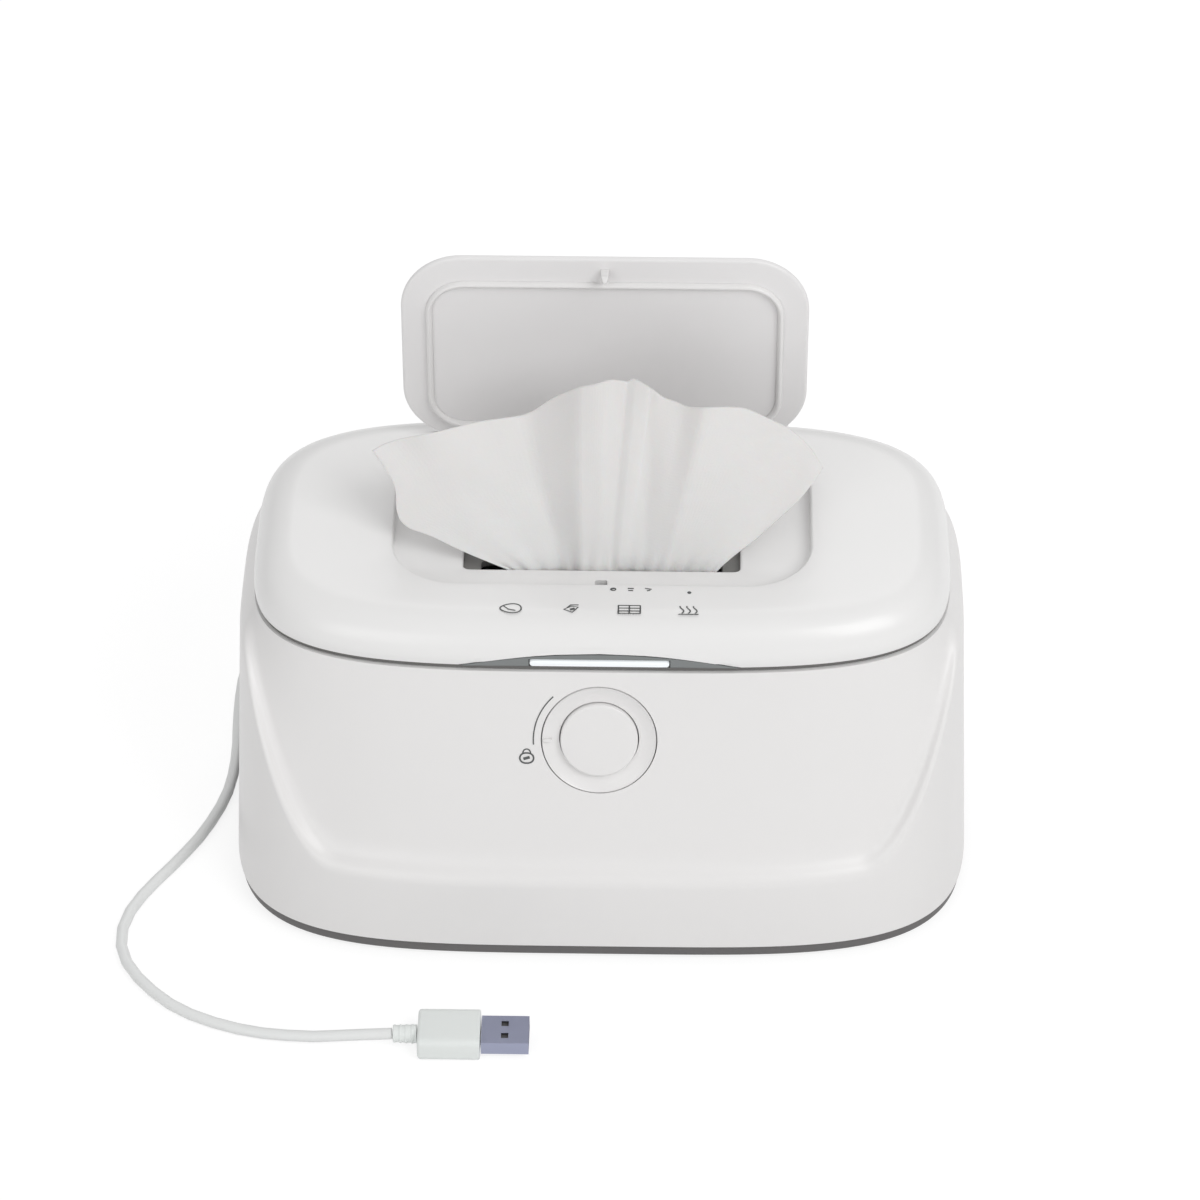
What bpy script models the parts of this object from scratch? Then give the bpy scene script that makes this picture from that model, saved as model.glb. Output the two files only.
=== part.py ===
# Baby wipe warmer: a warmed tank of folded wipes in a leaning housing, under a hinged lid
# that has its own small flap, with a push button, a child lock dial and a USB lead.
# Metres, +Z up, the front faces -Y, and the origin is the middle of the footprint.

import math

import bmesh
import bpy
import numpy as np
from mathutils import Matrix, Vector

MM = 0.001
AIR = 0.3 * MM
OVERRUN = 2.0 * MM
MERGE = 0.01 * MM

# Housing: the outline at the foot, at the shoulder, and at the seam under the lid
BODY_WIDTH = 230.0 * MM
BODY_DEPTH = 155.6 * MM
SHOULDER_WIDTH = 223.0 * MM
SHOULDER_DRAFT = 2.8 * MM
SHOULDER_DEPTH = BODY_DEPTH - 2 * SHOULDER_DRAFT
SHOULDER_Z = 88.0 * MM
LID_WIDTH = 214.0 * MM
FRONT_SETBACK = 24.3 * MM
REAR_SETBACK = 18.3 * MM
LID_DEPTH = BODY_DEPTH - FRONT_SETBACK - REAR_SETBACK
LID_CENTRE_Y = (FRONT_SETBACK - REAR_SETBACK) / 2
LID_FRONT_Y = LID_CENTRE_Y - LID_DEPTH / 2
LID_BACK_Y = LID_CENTRE_Y + LID_DEPTH / 2
SEAM_Z = 95.0 * MM
BODY_POWER = 4.1
SHOULDER_POWER = 3.3
LID_POWER = 3.8
OUTLINE_POINTS = 60
WALL = 2.4 * MM

# The raised skirt falls in a U over the front, and leaves a ledge below the leaning panel
FRONT_CREASE_Z = 31.0 * MM
CREASE_START = math.radians(47.5)
CREASE_END = math.radians(76.0)
LEDGE_DEPTH = 5.5 * MM
LEDGE_RISE = 3.5 * MM
CREASE_ROUND = 3.0 * MM
INNER_CREASE_DROP = 1.2 * MM

# Base cover, its feet and its screws
FOOT_HEIGHT = 0.7 * MM
FOOT_RADIUS = 7.0 * MM
FOOT_SIDE_INSET = 31.0 * MM
FOOT_END_INSET = 29.8 * MM
FOOT_X = BODY_WIDTH / 2 - FOOT_SIDE_INSET
FOOT_Y = BODY_DEPTH / 2 - FOOT_END_INSET
BASE_FLOOR_Z = FOOT_HEIGHT + AIR
BASE_RING_HEIGHT = 4.2 * MM
BASE_INSET = 0.6 * MM
BASE_FILLET = 1.4 * MM
BASE_FLOOR = 2.0 * MM
BASE_RIM_WALL = 1.8 * MM
BASE_RIM_HEIGHT = 3.8 * MM
HOUSING_FOOT_Z = BASE_FLOOR_Z + BASE_RING_HEIGHT + AIR
BOSS_RADIUS = 4.0 * MM
BOSS_SINK = 1.0 * MM
BOSS_END_INSET = 52.8 * MM
BOSS_Y = BODY_DEPTH / 2 - BOSS_END_INSET
BOSS_HEIGHT = 20.0 * MM
SCREW_RADIUS = 1.5 * MM
SCREW_HEAD_RADIUS = 3.0 * MM
SCREW_HEAD_HEIGHT = 1.0 * MM
SCREW_LENGTH = 19.0 * MM
SCREW_SOCKET_RADIUS = 1.1 * MM
SCREW_SOCKET_DEPTH = 0.5 * MM

# Tank: a dark liner whose flange lies on the housing and shows as the seam
TANK_WIDTH = 192.0 * MM
TANK_FRONT_ROOM = 13.5 * MM
TANK_BACK_ROOM = 9.5 * MM
TANK_FRONT_Y = LID_FRONT_Y + TANK_FRONT_ROOM
TANK_BACK_Y = LID_BACK_Y - TANK_BACK_ROOM
TANK_TAPER = 5.0 * MM
TANK_WALL = 1.8 * MM
TANK_FLOOR_Z = 24.0 * MM
TANK_FILLET = 6.0 * MM
TANK_POWER = 4.0
TANK_POINTS = 40
FLANGE_HEIGHT = 1.4 * MM
FLANGE_INSET = 0.8 * MM
FLANGE_Z = SEAM_Z + AIR
FLANGE_TOP_Z = FLANGE_Z + FLANGE_HEIGHT
TANK_CENTRE_Y = (TANK_FRONT_Y + TANK_BACK_Y) / 2
TANK_DEPTH = TANK_BACK_Y - TANK_FRONT_Y

# Stack of folded wipes
STACK_MARGIN = 2.5 * MM
STACK_HEIGHT = 48.0 * MM
STACK_CROWN = 4.0 * MM

# Lid
LID_FOOT_Z = FLANGE_TOP_Z + AIR
LID_TOP_Z = 110.6 * MM
LID_EDGE_ROUND = 12.0 * MM
LID_WALL = 2.2 * MM
ARCH_HALF_WIDTH = 42.0 * MM
ARCH_HEIGHT = 5.0 * MM
ARCH_STEPS = 16

# Flap and the recess that it closes into
FLAP_WIDTH = 125.6 * MM
FLAP_HINGE_ROOM = 17.5 * MM
FLAP_FRONT_ROOM = 24.5 * MM
FLAP_HINGE_Y = LID_BACK_Y - FLAP_HINGE_ROOM
FLAP_FRONT_Y = LID_FRONT_Y + FLAP_FRONT_ROOM
FLAP_CORNER = 19.0 * MM
FLAP_WALL = 2.2 * MM
FLAP_GAP = 1.2 * MM
FLAP_OPEN = math.radians(90.0)
RECESS_DEPTH = 4.5 * MM
RECESS_BEHIND_HINGE = 3.8 * MM
RECESS_FLOOR_Z = LID_TOP_Z - RECESS_DEPTH
FLAP_AXIS_Z = 108.7 * MM
FLAP_BARREL_RADIUS = 2.0 * MM
FLAP_BARREL_HALF = 30.0 * MM
FLAP_REAR_GAP = 2.6 * MM
FLAP_NOTCH_DEPTH = 2.0 * MM
FLAP_PIN_RADIUS = 0.8 * MM
EAR_THICKNESS = 4.0 * MM
EAR_HALF_DEPTH = 2.2 * MM

# Slot that the wipes come through
SLOT_WIDTH = 84.6 * MM
SLOT_MARGIN = 11.2 * MM
SLOT_FRONT_Y = FLAP_FRONT_Y + SLOT_MARGIN
SLOT_DEPTH = 27.0 * MM
SLOT_CORNER = 2.0 * MM

for old in list(bpy.data.objects):
    bpy.data.objects.remove(old, do_unlink=True)

PARTS = bpy.data.collections.new("baby_wipe_warmer")
CUTTERS = bpy.data.collections.new("cutters")
bpy.context.scene.collection.children.link(PARTS)
bpy.context.scene.collection.children.link(CUTTERS)


def finish(name, colour, roughness=0.5, metallic=0.0):
    """A plain Principled material in the piece's own colour."""
    material = bpy.data.materials.new(name)
    material.use_nodes = True
    shader = material.node_tree.nodes["Principled BSDF"]
    shader.inputs["Base Color"].default_value = (*colour, 1.0)
    shader.inputs["Roughness"].default_value = roughness
    shader.inputs["Metallic"].default_value = metallic
    return material


WHITE = finish("white_plastic", (0.78, 0.78, 0.77), 0.35)
DARK = finish("dark_grey_plastic", (0.10, 0.10, 0.10), 0.5)
RUBBER = finish("dark_silicone", (0.06, 0.06, 0.06), 0.7)
STEEL = finish("steel", (0.55, 0.56, 0.58), 0.3, 1.0)
ALUMINIUM = finish("aluminium", (0.75, 0.76, 0.78), 0.35, 1.0)
FILM = finish("amber_film", (0.60, 0.28, 0.05), 0.35)
FOAM = finish("grey_foam", (0.35, 0.35, 0.36), 0.9)
BOARD = finish("green_board", (0.02, 0.16, 0.07), 0.4)
GLOW = finish("milky_light_bar", (0.85, 0.87, 0.88), 0.25)
CLOTH = finish("wipe_cloth", (0.80, 0.80, 0.79), 0.9)
CORD = finish("white_cord", (0.80, 0.80, 0.80), 0.5)


def place(name, mesh, material, collection=PARTS):
    """An object for a mesh, in its collection, with its material."""
    thing = bpy.data.objects.new(name, mesh)
    if material:
        mesh.materials.append(material)
    collection.objects.link(thing)
    return thing


def body_from(name, shape, material, smooth=True):
    """Turn a bmesh into an object, with its faces outwards and its sharp edges kept."""
    bmesh.ops.recalc_face_normals(shape, faces=shape.faces)
    mesh = bpy.data.meshes.new(name)
    shape.to_mesh(mesh)
    shape.free()
    if smooth:
        mesh.shade_smooth()
        mesh.set_sharp_from_angle(angle=math.radians(35))
    return place(name, mesh, material)


def skin(name, rings, material, closed=False):
    """Loft rings of like count into one body, capped, or joined end to end when closed."""
    shape = bmesh.new()
    loops = [[shape.verts.new(point) for point in ring] for ring in rings]
    pairs = list(zip(loops, loops[1:]))
    if closed:
        pairs.append((loops[-1], loops[0]))
    for lower, upper in pairs:
        for k in range(len(lower)):
            after = (k + 1) % len(lower)
            shape.faces.new((lower[k], lower[after], upper[after], upper[k]))
    if not closed:
        shape.faces.new(loops[0])
        shape.faces.new(loops[-1])
    return body_from(name, shape, material)


def box(name, low, high, material, edge=0.0, segments=2):
    """A block between two corners, with its edges rounded by a Bevel where edge is given."""
    shape = bmesh.new()
    bmesh.ops.create_cube(shape, size=1.0)
    size = [b - a for a, b in zip(low, high)]
    middle = [(a + b) / 2 for a, b in zip(low, high)]
    bmesh.ops.scale(shape, vec=size, verts=shape.verts)
    bmesh.ops.translate(shape, vec=middle, verts=shape.verts)
    block = body_from(name, shape, material, smooth=False)
    if edge:
        bevel = block.modifiers.new("rounded_edges", "BEVEL")
        bevel.width = edge
        bevel.segments = segments
    return block


def rod(name, radius, start, end, material, sides=20, end_radius=None):
    """A round bar, or a cone when end_radius is given, from one point to another."""
    start, end = Vector(start), Vector(end)
    along = end - start
    turn = Vector((0, 0, 1)).rotation_difference(along).to_matrix().to_4x4()
    shape = bmesh.new()
    bmesh.ops.create_cone(shape, cap_ends=True, segments=sides, radius1=radius,
                          radius2=radius if end_radius is None else end_radius,
                          depth=along.length, matrix=Matrix.Translation((start + end) / 2) @ turn)
    return body_from(name, shape, material)


def lathe(name, profile, material, steps=32):
    """A turned piece about its own Z axis, from (radius, height) pairs, top to bottom."""
    mesh = bpy.data.meshes.new(name)
    points = [(radius, 0, height) for radius, height in profile]
    mesh.from_pydata(points, [(k, k + 1) for k in range(len(points) - 1)], [])
    turned = place(name, mesh, material)
    screw = turned.modifiers.new("turn", "SCREW")
    screw.steps = screw.render_steps = steps
    screw.use_merge_vertices = True
    screw.merge_threshold = MERGE
    screw.use_smooth_shade = False
    return turned


def slab(name, outline, low_z, high_z, material):
    """A flat plate with the given outline."""
    return skin(name, [[(x, y, low_z) for x, y in outline], [(x, y, high_z) for x, y in outline]],
                material)


def as_cutter(thing):
    """Move a shape to the cutters, where it is only a guide for others."""
    PARTS.objects.unlink(thing)
    CUTTERS.objects.link(thing)
    thing.hide_render = True
    thing.display_type = "WIRE"
    return thing


def cut(target, *tools):
    """Cut each tool out of the target."""
    for tool in tools:
        step = target.modifiers.new("cut_" + tool.name, "BOOLEAN")
        step.operation = "DIFFERENCE"
        step.solver = "EXACT"
        step.object = as_cutter(tool)


def add(target, *tools):
    """Join each tool to the target."""
    for tool in tools:
        step = target.modifiers.new("add_" + tool.name, "BOOLEAN")
        step.operation = "UNION"
        step.solver = "EXACT"
        step.object = as_cutter(tool)


def superellipse(half_x, half_y, power, centre_y=0.0, count=OUTLINE_POINTS):
    """A rounded outline |x/a|^n + |y/b|^n = 1, anticlockwise from +X, as (x, y) pairs."""
    angle = np.arange(count) * 2 * math.pi / count
    cosine, sine = np.cos(angle), np.sin(angle)
    x = half_x * np.sign(cosine) * np.abs(cosine) ** (2 / power)
    y = centre_y + half_y * np.sign(sine) * np.abs(sine) ** (2 / power)
    return np.stack([x, y], axis=1)


def rounded_rectangle(low, high, radius, arc=5):
    """A rectangle with round corners, anticlockwise, with arc + 1 points a corner."""
    points = []
    corners = [(high[0], high[1], 0), (low[0], high[1], 1), (low[0], low[1], 2), (high[0], low[1], 3)]
    for x, y, quarter in corners:
        centre_x = x - radius if quarter in (0, 3) else x + radius
        centre_y = y - radius if quarter in (0, 1) else y + radius
        for k in range(arc + 1):
            angle = (quarter + k / arc) * math.pi / 2
            points.append((centre_x + radius * math.cos(angle), centre_y + radius * math.sin(angle)))
    return points


def at_height(outline, z):
    """Outline points lifted to one height."""
    return [(x, y, z) for x, y in outline]


def blend(first, corner, last, share):
    """A point on the quadratic curve that rounds a corner."""
    return (1 - share) ** 2 * first + 2 * share * (1 - share) * corner + share ** 2 * last


# The housing's outer form, shared by everything that meets it
def envelope(height, inset=0.0):
    """The skirt's outline at a height: it narrows evenly from the foot to the shoulder."""
    share = (height - HOUSING_FOOT_Z) / (SHOULDER_Z - HOUSING_FOOT_Z)
    half_x = (BODY_WIDTH + share * (SHOULDER_WIDTH - BODY_WIDTH)) / 2 - inset
    half_y = (BODY_DEPTH + share * (SHOULDER_DEPTH - BODY_DEPTH)) / 2 - inset
    power = BODY_POWER + share * (SHOULDER_POWER - BODY_POWER)
    return superellipse(half_x, half_y, power)


def lid_outline(inset=0.0):
    """The outline of the lid and of the seam under it."""
    return superellipse(LID_WIDTH / 2 - inset, LID_DEPTH / 2 - inset, LID_POWER, LID_CENTRE_Y)


def crease_heights():
    """The height of the skirt's top edge at each outline point: low in front, high elsewhere."""
    rim = envelope(SHOULDER_Z)
    bearing = np.arctan2(np.abs(rim[:, 0]), -rim[:, 1])
    share = np.clip((bearing - CREASE_START) / (CREASE_END - CREASE_START), 0, 1)
    rise = share * share * (3 - 2 * share)
    return FRONT_CREASE_Z + rise * (SHOULDER_Z - FRONT_CREASE_Z)


def envelope_at(heights, inset):
    """Envelope points, each at its own height."""
    return np.array([(*envelope(z, inset)[k], z) for k, z in enumerate(heights)])


def housing_rows(inset, drop, rounds):
    """Rings of the housing from foot to seam: skirt, rounded crease, ledge, leaning panel."""
    heights = crease_heights() - drop
    crease = envelope_at(heights, inset)
    seam = np.array(at_height(lid_outline(inset), SEAM_Z))
    inward = seam[:, :2] - crease[:, :2]
    reach = np.linalg.norm(inward, axis=1)
    step_share = np.minimum(LEDGE_DEPTH / reach, 1 / 2)
    rise = np.minimum(LEDGE_RISE, (SEAM_Z - heights) / 2)
    ledge = np.column_stack([crease[:, :2] + inward * step_share[:, None], heights + rise])
    below = envelope_at(heights - CREASE_ROUND, inset)
    middle = (crease + ledge) / 2
    above_share = np.minimum(2 * CREASE_ROUND / (SEAM_Z - ledge[:, 2]), 1 / 2)
    above = ledge + (seam - ledge) * above_share[:, None]
    foot = np.array(at_height(envelope(HOUSING_FOOT_Z, inset), HOUSING_FOOT_Z))
    rows = [foot, below]
    shares = [k / rounds for k in range(1, rounds)]
    rows += [blend(below, crease, middle, s) for s in shares] + [middle]
    rows += [blend(middle, ledge, above, s) for s in shares] + [above, seam]
    return rows


# The front panel's own frame: X to the right, Y up the panel, Z out of it
CREASE_SHARE = (FRONT_CREASE_Z - HOUSING_FOOT_Z) / (SHOULDER_Z - HOUSING_FOOT_Z)
CREASE_FRONT_Y = -(BODY_DEPTH + CREASE_SHARE * (SHOULDER_DEPTH - BODY_DEPTH)) / 2
PANEL_FOOT_Y = CREASE_FRONT_Y + LEDGE_DEPTH
PANEL_FOOT_Z = FRONT_CREASE_Z + LEDGE_RISE
LEAN = math.atan2(LID_FRONT_Y - PANEL_FOOT_Y, SEAM_Z - PANEL_FOOT_Z)
BUTTON_Z = 73.6 * MM
BUTTON_Y = LID_FRONT_Y - (SEAM_Z - BUTTON_Z) * math.tan(LEAN)
PANEL = Matrix.Translation((0, BUTTON_Y, BUTTON_Z)) @ Matrix.Rotation(math.pi / 2 - LEAN, 4, "X")


def put(thing, frame):
    """Put a piece, and what cuts or joins it, where its own frame is."""
    thing.matrix_world = frame
    for step in thing.modifiers:
        if step.type == "BOOLEAN":
            step.object.matrix_world = frame
    return thing


def on_panel(thing):
    """Put a piece that is drawn in the panel's frame where the panel is."""
    return put(thing, PANEL)


# Button, dial and the cup behind them, in the panel's frame
BUTTON_RADIUS = 11.75 * MM
BUTTON_PROUD = 0.5 * MM
BUTTON_FACE = 1.6 * MM
BUTTON_SKIRT = 4.6 * MM
BUTTON_SKIRT_WALL = 1.5 * MM
BUTTON_EDGE = 0.6 * MM
STEM_RADIUS = 3.0 * MM
STEM_END = 10.2 * MM
DIAL_GAP = 0.35 * MM
DIAL_RADIUS = 17.3 * MM
DIAL_PROUD = 0.3 * MM
DIAL_DISH = 1.7 * MM
DIAL_DEPTH = 4.2 * MM
DIAL_FLANGE_REACH = 1.4 * MM
TICK_LENGTH = 2.6 * MM
TICK_WIDTH = 0.9 * MM
TICK_HEIGHT = 0.35 * MM
CUP_WALL = 1.4 * MM
CUP_FLOOR_FRONT = 7.0 * MM
CUP_FLOOR = 1.3 * MM
SPRING_RADIUS = 4.7 * MM
SPRING_WIRE = 0.35 * MM
SPRING_CURLS = 4
SPRING_POINTS = 8
PANEL_WALL = WALL * math.cos(LEAN)
CUP_RADIUS = DIAL_RADIUS + DIAL_FLANGE_REACH + DIAL_GAP + CUP_WALL
DIAL_BACK_Z = -(DIAL_DEPTH + AIR)

# Latch lever behind the cup, and the lid's catch
LEVER_UP = 11.6 * MM
LEVER_BEHIND = 9.5 * MM
LEVER_TILT = math.radians(16.5)
LEVER = (PANEL @ Matrix.Translation((0, LEVER_UP, -LEVER_BEHIND))
         @ Matrix.Rotation(LEVER_TILT - math.pi / 2, 4, "X"))
LEVER_HALF_WIDTH = 5.4 * MM
LEVER_HALF_THICK = 1.2 * MM
LEVER_FOOT = 12.5 * MM
LEVER_TOP = 5.2 * MM
HOOK_HEIGHT = 1.4 * MM
HOOK_TIP = 1.9 * MM
HOOK_CORNER = LEVER @ Vector((0, HOOK_TIP, LEVER_TOP))
PIVOT_EYE = 2.2 * MM
PIN_RADIUS = 1.0 * MM
PIN_HALF = 8.2 * MM
CHEEK_THICK = 1.6 * MM
CHEEK_HALF_HEIGHT = 2.4 * MM
LEVER_WAY = 6.0 * MM
CUP_TOP = 16.4 * MM
CATCH_CLEARANCE = 0.9 * MM
CATCH_NOSE = 0.8 * MM
CATCH_THICK = 1.3 * MM
CATCH_DROP = 3.8 * MM
CATCH_NOSE_Y = HOOK_CORNER.y + CATCH_CLEARANCE
CATCH_FRONT_Y = CATCH_NOSE_Y + CATCH_NOSE
CATCH_BACK_Y = CATCH_FRONT_Y + CATCH_THICK
CATCH_HALF_WIDTH = 4.0 * MM
CATCH_FOOT_Z = HOOK_CORNER.z - CATCH_DROP
CATCH_NOSE_HEIGHT = 1.8 * MM
CATCH_HOLE_GAP = 0.5 * MM

# Light bar in its dark surround, over a strip of lamps
BAR_HALF_WIDTH = 21.0 * MM
BAR_LOW_Z = LID_FOOT_Z + AIR
BAR_HEIGHT = 2.1 * MM
BAR_PROUD = 0.2 * MM
BAR_FRONT_Y = LID_FRONT_Y - BAR_PROUD
BEZEL_INSET = 0.3 * MM
BEZEL_DEPTH = 3.6 * MM
BEZEL_FRONT_Y = LID_FRONT_Y + BEZEL_INSET
BEZEL_BACK_Y = BEZEL_FRONT_Y + BEZEL_DEPTH
BAR_EDGE = 0.5 * MM
LEG_HALF_WIDTH = 18.0 * MM
LEG_INSET = 2.9 * MM
LEG_THICK = 1.3 * MM
LEG_FRONT_Y = LID_FRONT_Y + LEG_INSET
LEG_BACK_Y = LEG_FRONT_Y + LEG_THICK
LEG_FOOT_Z = 93.4 * MM
LED_BOARD_THICK = 1.2 * MM
LED_BOARD_HALF = 22.0 * MM
LED_BOARD_INSET = 2.3 * MM
LED_BOARD_DEPTH = 4.8 * MM
LED_BOARD_FRONT_Y = LID_FRONT_Y + LED_BOARD_INSET
LED_BOARD_BACK_Y = LED_BOARD_FRONT_Y + LED_BOARD_DEPTH
BEZEL_GAP = 0.5 * MM


def make_housing():
    """The outer shell, with its front hole, its bosses and its two pairs of hinge ears."""
    outer = housing_rows(0.0, 0.0, 2)
    inner = housing_rows(WALL, INNER_CREASE_DROP, 2)
    shell = skin("outer_housing", outer + inner[::-1], WHITE, closed=True)
    hole = on_panel(rod("panel_hole", DIAL_RADIUS + DIAL_GAP, (0, 0, -OVERRUN - PANEL_WALL),
                        (0, 0, OVERRUN), None, sides=48))
    for k, (x, y) in enumerate(boss_places()):
        add(shell, rod(f"boss_{k}", BOSS_RADIUS, (x, y, boss_foot()),
                       (x, y, boss_foot() + BOSS_HEIGHT), None))
        cut(shell, rod(f"boss_bore_{k}", SCREW_RADIUS + AIR, (x, y, boss_foot() - OVERRUN),
                       (x, y, boss_foot() + BOSS_HEIGHT - OVERRUN), None, sides=12))
    for k, x in enumerate(ear_places()):
        half = HINGE_EAR / 2 - EYE_SIDE
        ear = box(f"hinge_ear_{k}", (x - half, HINGE_Y - HINGE_EYE, EAR_FOOT_Z),
                  (x + half, HINGE_Y + HINGE_EYE, HINGE_Z), None)
        add(shell, ear)
        half -= EYE_SIDE
        add(shell, box(f"ear_root_{k}", (x - half, LID_BACK_Y - EAR_ROOT_INSET, EAR_ROOT_FOOT_Z),
                       (x + half, HINGE_Y, EAR_ROOT_Z), None))
        add(shell, rod(f"hinge_eye_{k}", HINGE_EYE, (x - HINGE_EAR / 2, HINGE_Y, HINGE_Z),
                       (x + HINGE_EAR / 2, HINGE_Y, HINGE_Z), None, sides=16))
    for side in (-1, 1):
        cut(shell, rod(f"pin_bore_{side}", HINGE_PIN + AIR,
                       (side * (HINGE_INNER_X - OVERRUN), HINGE_Y, HINGE_Z),
                       (side * (HINGE_OUTER_X + OVERRUN), HINGE_Y, HINGE_Z), None, sides=12))
    cut(shell, hole)
    cut(shell, rod("gland_hole", GLAND_RADIUS + AIR, (GLAND_X, BODY_DEPTH / 2 - WALL * 2, GLAND_Z),
                   (GLAND_X, BODY_DEPTH / 2 + OVERRUN, GLAND_Z), None, sides=20))
    return shell


# Lid hinge at the rear: two pairs of ears on the housing, a knuckle of the lid in each pair
HINGE_ROOM = 4.5 * MM
HINGE_Y = LID_BACK_Y + HINGE_ROOM
HINGE_Z = 97.6 * MM
HINGE_EYE = 3.2 * MM
HINGE_PIN = 1.25 * MM
HINGE_EAR = 6.0 * MM
HINGE_INNER_X = 34.0 * MM
HINGE_KNUCKLE = 12.0 * MM
HINGE_OUTER_X = HINGE_INNER_X + 2 * HINGE_EAR + HINGE_KNUCKLE
EYE_SIDE = 0.3 * MM
EAR_FOOT_Z = 91.5 * MM
EAR_ROOT_INSET = 1.5 * MM
EAR_ROOT_Z = 93.6 * MM
EAR_ROOT_FOOT_Z = 90.5 * MM

# Cord, its gland in the housing's back, and its plug
CORD_RADIUS = 1.8 * MM
GLAND_X = -78.0 * MM
GLAND_Z = 14.0 * MM
GLAND_RADIUS = 3.6 * MM
GLAND_HEAD_RADIUS = 5.2 * MM
GLAND_HEAD = 1.6 * MM
GLAND_TAIL = 22.0 * MM
GLAND_TAIL_RADIUS = 2.6 * MM


def boss_places():
    """Four screw bosses, each sunk a little way into the side walls."""
    x = BODY_WIDTH / 2 - WALL - BOSS_RADIUS + BOSS_SINK
    return [(side * x, end * BOSS_Y) for side in (-1, 1) for end in (-1, 1)]


def boss_foot():
    """The bosses end just above the base cover's rim."""
    return HOUSING_FOOT_Z + BASE_RIM_HEIGHT + AIR


def ear_places():
    """The middle of each hinge ear along the hinge."""
    near = HINGE_INNER_X + HINGE_EAR / 2
    far = HINGE_OUTER_X - HINGE_EAR / 2
    return [-far, -near, near, far]


def make_base():
    """The dark base cover with its posts, the four feet under it and the four screws."""
    ring_top = BASE_FLOOR_Z + BASE_RING_HEIGHT
    rim_inset = WALL + AIR + BASE_INSET
    foot = HOUSING_FOOT_Z
    floor_top = BASE_FLOOR_Z + BASE_FLOOR
    rings = [
        at_height(envelope(foot, BASE_INSET + BASE_FILLET), BASE_FLOOR_Z),
        at_height(envelope(foot, BASE_INSET + BASE_FILLET / 3), BASE_FLOOR_Z + BASE_FILLET / 3),
        at_height(envelope(foot, BASE_INSET), BASE_FLOOR_Z + BASE_FILLET),
        at_height(envelope(foot, BASE_INSET), ring_top),
        at_height(envelope(foot, rim_inset), ring_top),
        at_height(envelope(foot, rim_inset), foot + BASE_RIM_HEIGHT),
        at_height(envelope(foot, rim_inset + BASE_RIM_WALL), foot + BASE_RIM_HEIGHT),
        at_height(envelope(foot, rim_inset + BASE_RIM_WALL), floor_top),
    ]
    cover = skin("base_cover", rings, DARK)
    for k, (x, y) in enumerate(pad_posts()):
        add(cover, rod(f"pad_post_{k}", POST_RADIUS, (x, y, BASE_FLOOR_Z + BASE_FLOOR / 2),
                       (x, y, PAD_LOW_Z - AIR), None, sides=16))
    for k, (x, y) in enumerate(board_posts()):
        add(cover, rod(f"board_post_{k}", BOARD_POST, (x, y, BASE_FLOOR_Z + BASE_FLOOR / 2),
                       (x, y, BOARD_Z - AIR), None, sides=12))
        cut(cover, rod(f"board_bore_{k}", BOARD_SCREW + AIR, (x, y, floor_top),
                       (x, y, BOARD_Z + OVERRUN), None, sides=10))
    head_room = SCREW_HEAD_HEIGHT + 2 * AIR
    for k, (x, y) in enumerate(boss_places()):
        cut(cover, rod(f"screw_way_{k}", SCREW_RADIUS + AIR, (x, y, -OVERRUN),
                       (x, y, boss_foot() + OVERRUN), None, sides=12))
        cut(cover, rod(f"screw_seat_{k}", SCREW_HEAD_RADIUS + AIR, (x, y, -OVERRUN),
                       (x, y, BASE_FLOOR_Z + head_room), None, sides=16))
        screw = lathe(f"base_screw_{k + 1}", [
            (0, SCREW_LENGTH + SCREW_HEAD_HEIGHT), (SCREW_RADIUS, SCREW_LENGTH + SCREW_HEAD_HEIGHT),
            (SCREW_RADIUS, SCREW_HEAD_HEIGHT), (SCREW_HEAD_RADIUS, SCREW_HEAD_HEIGHT),
            (SCREW_HEAD_RADIUS, 0), (SCREW_SOCKET_RADIUS, 0),
            (SCREW_SOCKET_RADIUS, SCREW_SOCKET_DEPTH), (0, SCREW_SOCKET_DEPTH)], STEEL, 10)
        screw.location = (x, y, BASE_FLOOR_Z + AIR)
    for k, (x, y) in enumerate([(-1, -1), (1, -1), (1, 1), (-1, 1)]):
        rod(f"foot_{k + 1}", FOOT_RADIUS, (x * FOOT_X, y * FOOT_Y, 0),
            (x * FOOT_X, y * FOOT_Y, FOOT_HEIGHT), RUBBER, sides=24)


# Heater stack under the tank, and the main board under it
HEATER_WIDTH = 164.0 * MM
HEATER_MARGIN = 11.0 * MM
HEATER_DEPTH = TANK_DEPTH - 2 * HEATER_MARGIN
HEATER_CORNER = 12.0 * MM
PLATE_THICK = 1.5 * MM
FILM_THICK = 0.5 * MM
PAD_THICK = 4.5 * MM
PLATE_Z = TANK_FLOOR_Z - TANK_WALL - AIR - PLATE_THICK
FILM_Z = PLATE_Z - AIR - FILM_THICK
PAD_LOW_Z = FILM_Z - AIR - PAD_THICK
FILM_INSET = 3.0 * MM
CUTOUT_RADIUS = 6.0 * MM
CUTOUT_X = 46.0 * MM
CUTOUT_HEIGHT = 5.5 * MM
POST_RADIUS = 3.5 * MM
POST_X = 62.0 * MM
POST_Y = 22.0 * MM
BOARD_Z = 8.0 * MM
BOARD_THICK = 1.6 * MM
BOARD_HALF_WIDTH = 42.0 * MM
BOARD_LOW_Y = -8.0 * MM
BOARD_HIGH_Y = 44.0 * MM
BOARD_POST = 2.6 * MM
BOARD_SCREW = 0.9 * MM
BOARD_SCREW_HEAD = 2.0 * MM
BOARD_SCREW_HEIGHT = 1.1 * MM
BOARD_POST_INSET = 4.0 * MM
CHIP_SIZE = 9.0 * MM
CHIP_HEIGHT = 1.6 * MM
SOCKET_SIZE = 7.0 * MM
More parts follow.
